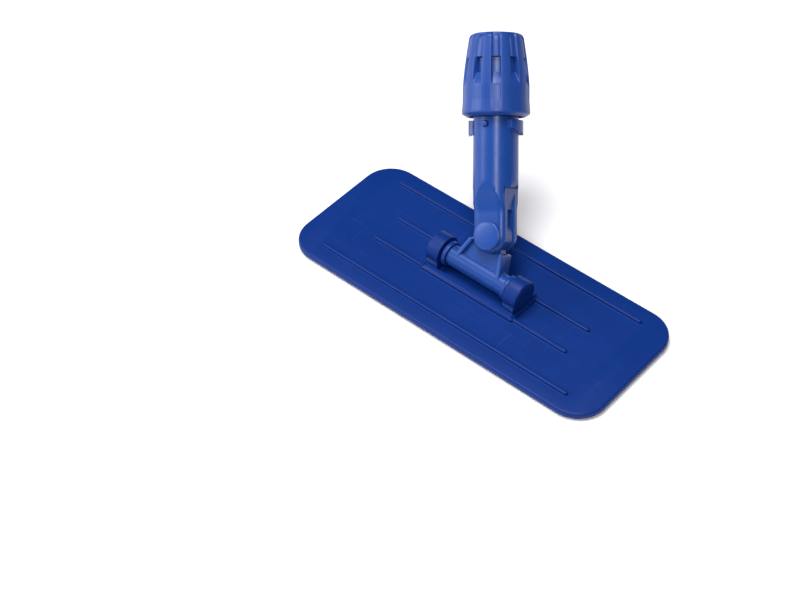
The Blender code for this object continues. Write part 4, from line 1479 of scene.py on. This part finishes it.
# ---------------------------------------------------------------- kept nodes


def dress_kept_nodes(paint: Paintbox) -> None:
    """Gives the nodes that stay in view their finish."""
    kept = {
        "swivel_axle": Finish.AXLE_STEEL,
        "friction_washer_front": Finish.WASHER_STEEL,
        "friction_washer_rear": Finish.WASHER_STEEL,
        "pin_bush": Finish.BUSH,
    }
    for node, finish in kept.items():
        obj = frame["nodes"][node]
        obj.data.materials.clear()
        obj.data.materials.append(paint.get(finish))
        LOG.info("%s keeps its own shape", node)


# ---------------------------------------------------------------- studio


@dataclass(frozen=True)
class Softbox:
    """A rectangular area light aimed at the object."""

    name: str
    azimuth: float
    elevation: float
    distance: float
    width: float
    height: float
    power: float
    colour: tuple[float, float, float] = (1.0, 1.0, 1.0)

    def build(self, aim: Vector) -> None:
        """Hangs the light and turns it to its aim."""
        light = bpy.data.lights.new(self.name, "AREA")
        light.shape = "RECTANGLE"
        light.size, light.size_y = self.width, self.height
        light.energy, light.color = self.power, self.colour
        lamp = bpy.data.objects.new(self.name, light)
        back = direction(self.azimuth, self.elevation)
        lamp.location = aim + back * self.distance
        lamp.rotation_mode = "QUATERNION"
        lamp.rotation_quaternion = (-back).to_track_quat("-Z", "Y")
        bpy.context.scene.collection.objects.link(lamp)


def direction(azimuth: float, elevation: float) -> Vector:
    """From the object towards a viewer, with azimuth 0 on -Y and turning towards +X."""
    a, e = math.radians(azimuth), math.radians(elevation)
    return Vector((math.sin(a) * math.cos(e), -math.cos(a) * math.cos(e), math.sin(e)))


@dataclass
class Studio:
    """A pale floor, soft lights and the camera."""

    azimuth: float = 41.0
    elevation: float = 46.69
    roll: float = -0.51
    distance: float = 1.090
    aim: tuple[float, float, float] = (-0.0273, -0.0415, 0.004)
    lens: float = 81.9
    sensor: float = 36.0
    floor_half: float = 4.0
    lights: tuple[Softbox, ...] = (
        Softbox("overhead_box", -62, 80, 2.6, 1.05, 1.05, 60.0, (1.0, 0.98, 1.0)),
        Softbox("front_box", 41, 53, 2.4, 0.36, 0.6, 22.0, (1.0, 0.96, 0.99)),
        Softbox("left_box", -52, 26, 2.6, 1.4, 1.4, 38.0, (0.98, 0.99, 1.0)),
    )
    light_aim: tuple[float, float, float] = (0.0, 0.0, 0.03)
    sky: float = 0.05
    sky_tint: tuple[float, float, float, float] = (0.93, 0.95, 1.0, 1.0)
    floor_white: tuple[float, float, float, float] = (0.96, 0.96, 0.96, 1.0)

    def floor(self) -> None:
        """Lays the floor under the lowest point of the object."""
        form = Form()
        bmesh.ops.create_grid(form.bm, x_segments=1, y_segments=1, size=self.floor_half)
        mesh = bpy.data.meshes.new("floor")
        form.bm.to_mesh(mesh)
        floor = bpy.data.objects.new("floor", mesh)
        floor.location.z = CAD_BOX[0].z
        desk = Desk("floor_white")
        mesh.materials.append(desk.dress(Base_Color=self.floor_white, Roughness=0.9))
        bpy.context.scene.collection.objects.link(floor)

    def camera(self) -> None:
        """Sets the camera with its roll."""
        back = direction(self.azimuth, self.elevation)
        right = (-back).cross(Vector((0, 0, 1))).normalized()
        up = right.cross(-back)
        turn = math.radians(self.roll)
        tilted = right * math.cos(turn) + up * math.sin(turn)
        raised = up * math.cos(turn) - right * math.sin(turn)
        camera = bpy.data.cameras.new("camera")
        camera.lens, camera.sensor_width = self.lens, self.sensor
        camera.clip_start, camera.clip_end = 0.05, 20.0
        holder = bpy.data.objects.new("camera", camera)
        holder.rotation_mode = "QUATERNION"
        holder.rotation_quaternion = Matrix((tilted, raised, back)).transposed().to_quaternion()
        holder.location = Vector(self.aim) + back * self.distance
        bpy.context.scene.collection.objects.link(holder)
        bpy.context.scene.camera = holder

    def build(self) -> None:
        """Builds the whole studio."""
        self.camera()
        self.floor()
        for light in self.lights:
            light.build(Vector(self.light_aim))
        world = bpy.data.worlds.new("studio")
        world.use_nodes = True
        sky = world.node_tree.nodes["Background"]
        sky.inputs["Color"].default_value = self.sky_tint
        sky.inputs["Strength"].default_value = self.sky
        bpy.context.scene.world = world
        bpy.context.scene.view_settings.view_transform = "Standard"


def main() -> None:
    """Builds the studio and every sub-assembly, in order."""
    logging.basicConfig(level=logging.INFO, format="%(name)s: %(message)s")
    paint = Paintbox()
    Studio().build()
    for part in (
        PadPlate(paint),
        HookStrips(paint),
        AxleSet(paint),
        SwivelYoke(paint),
        SwivelPin(paint),
        PoleSocket(paint),
        GripCollet(paint),
        LockingCollar(paint),
    ):
        part.build()
    dress_kept_nodes(paint)


if __name__ == "__main__":
    main()
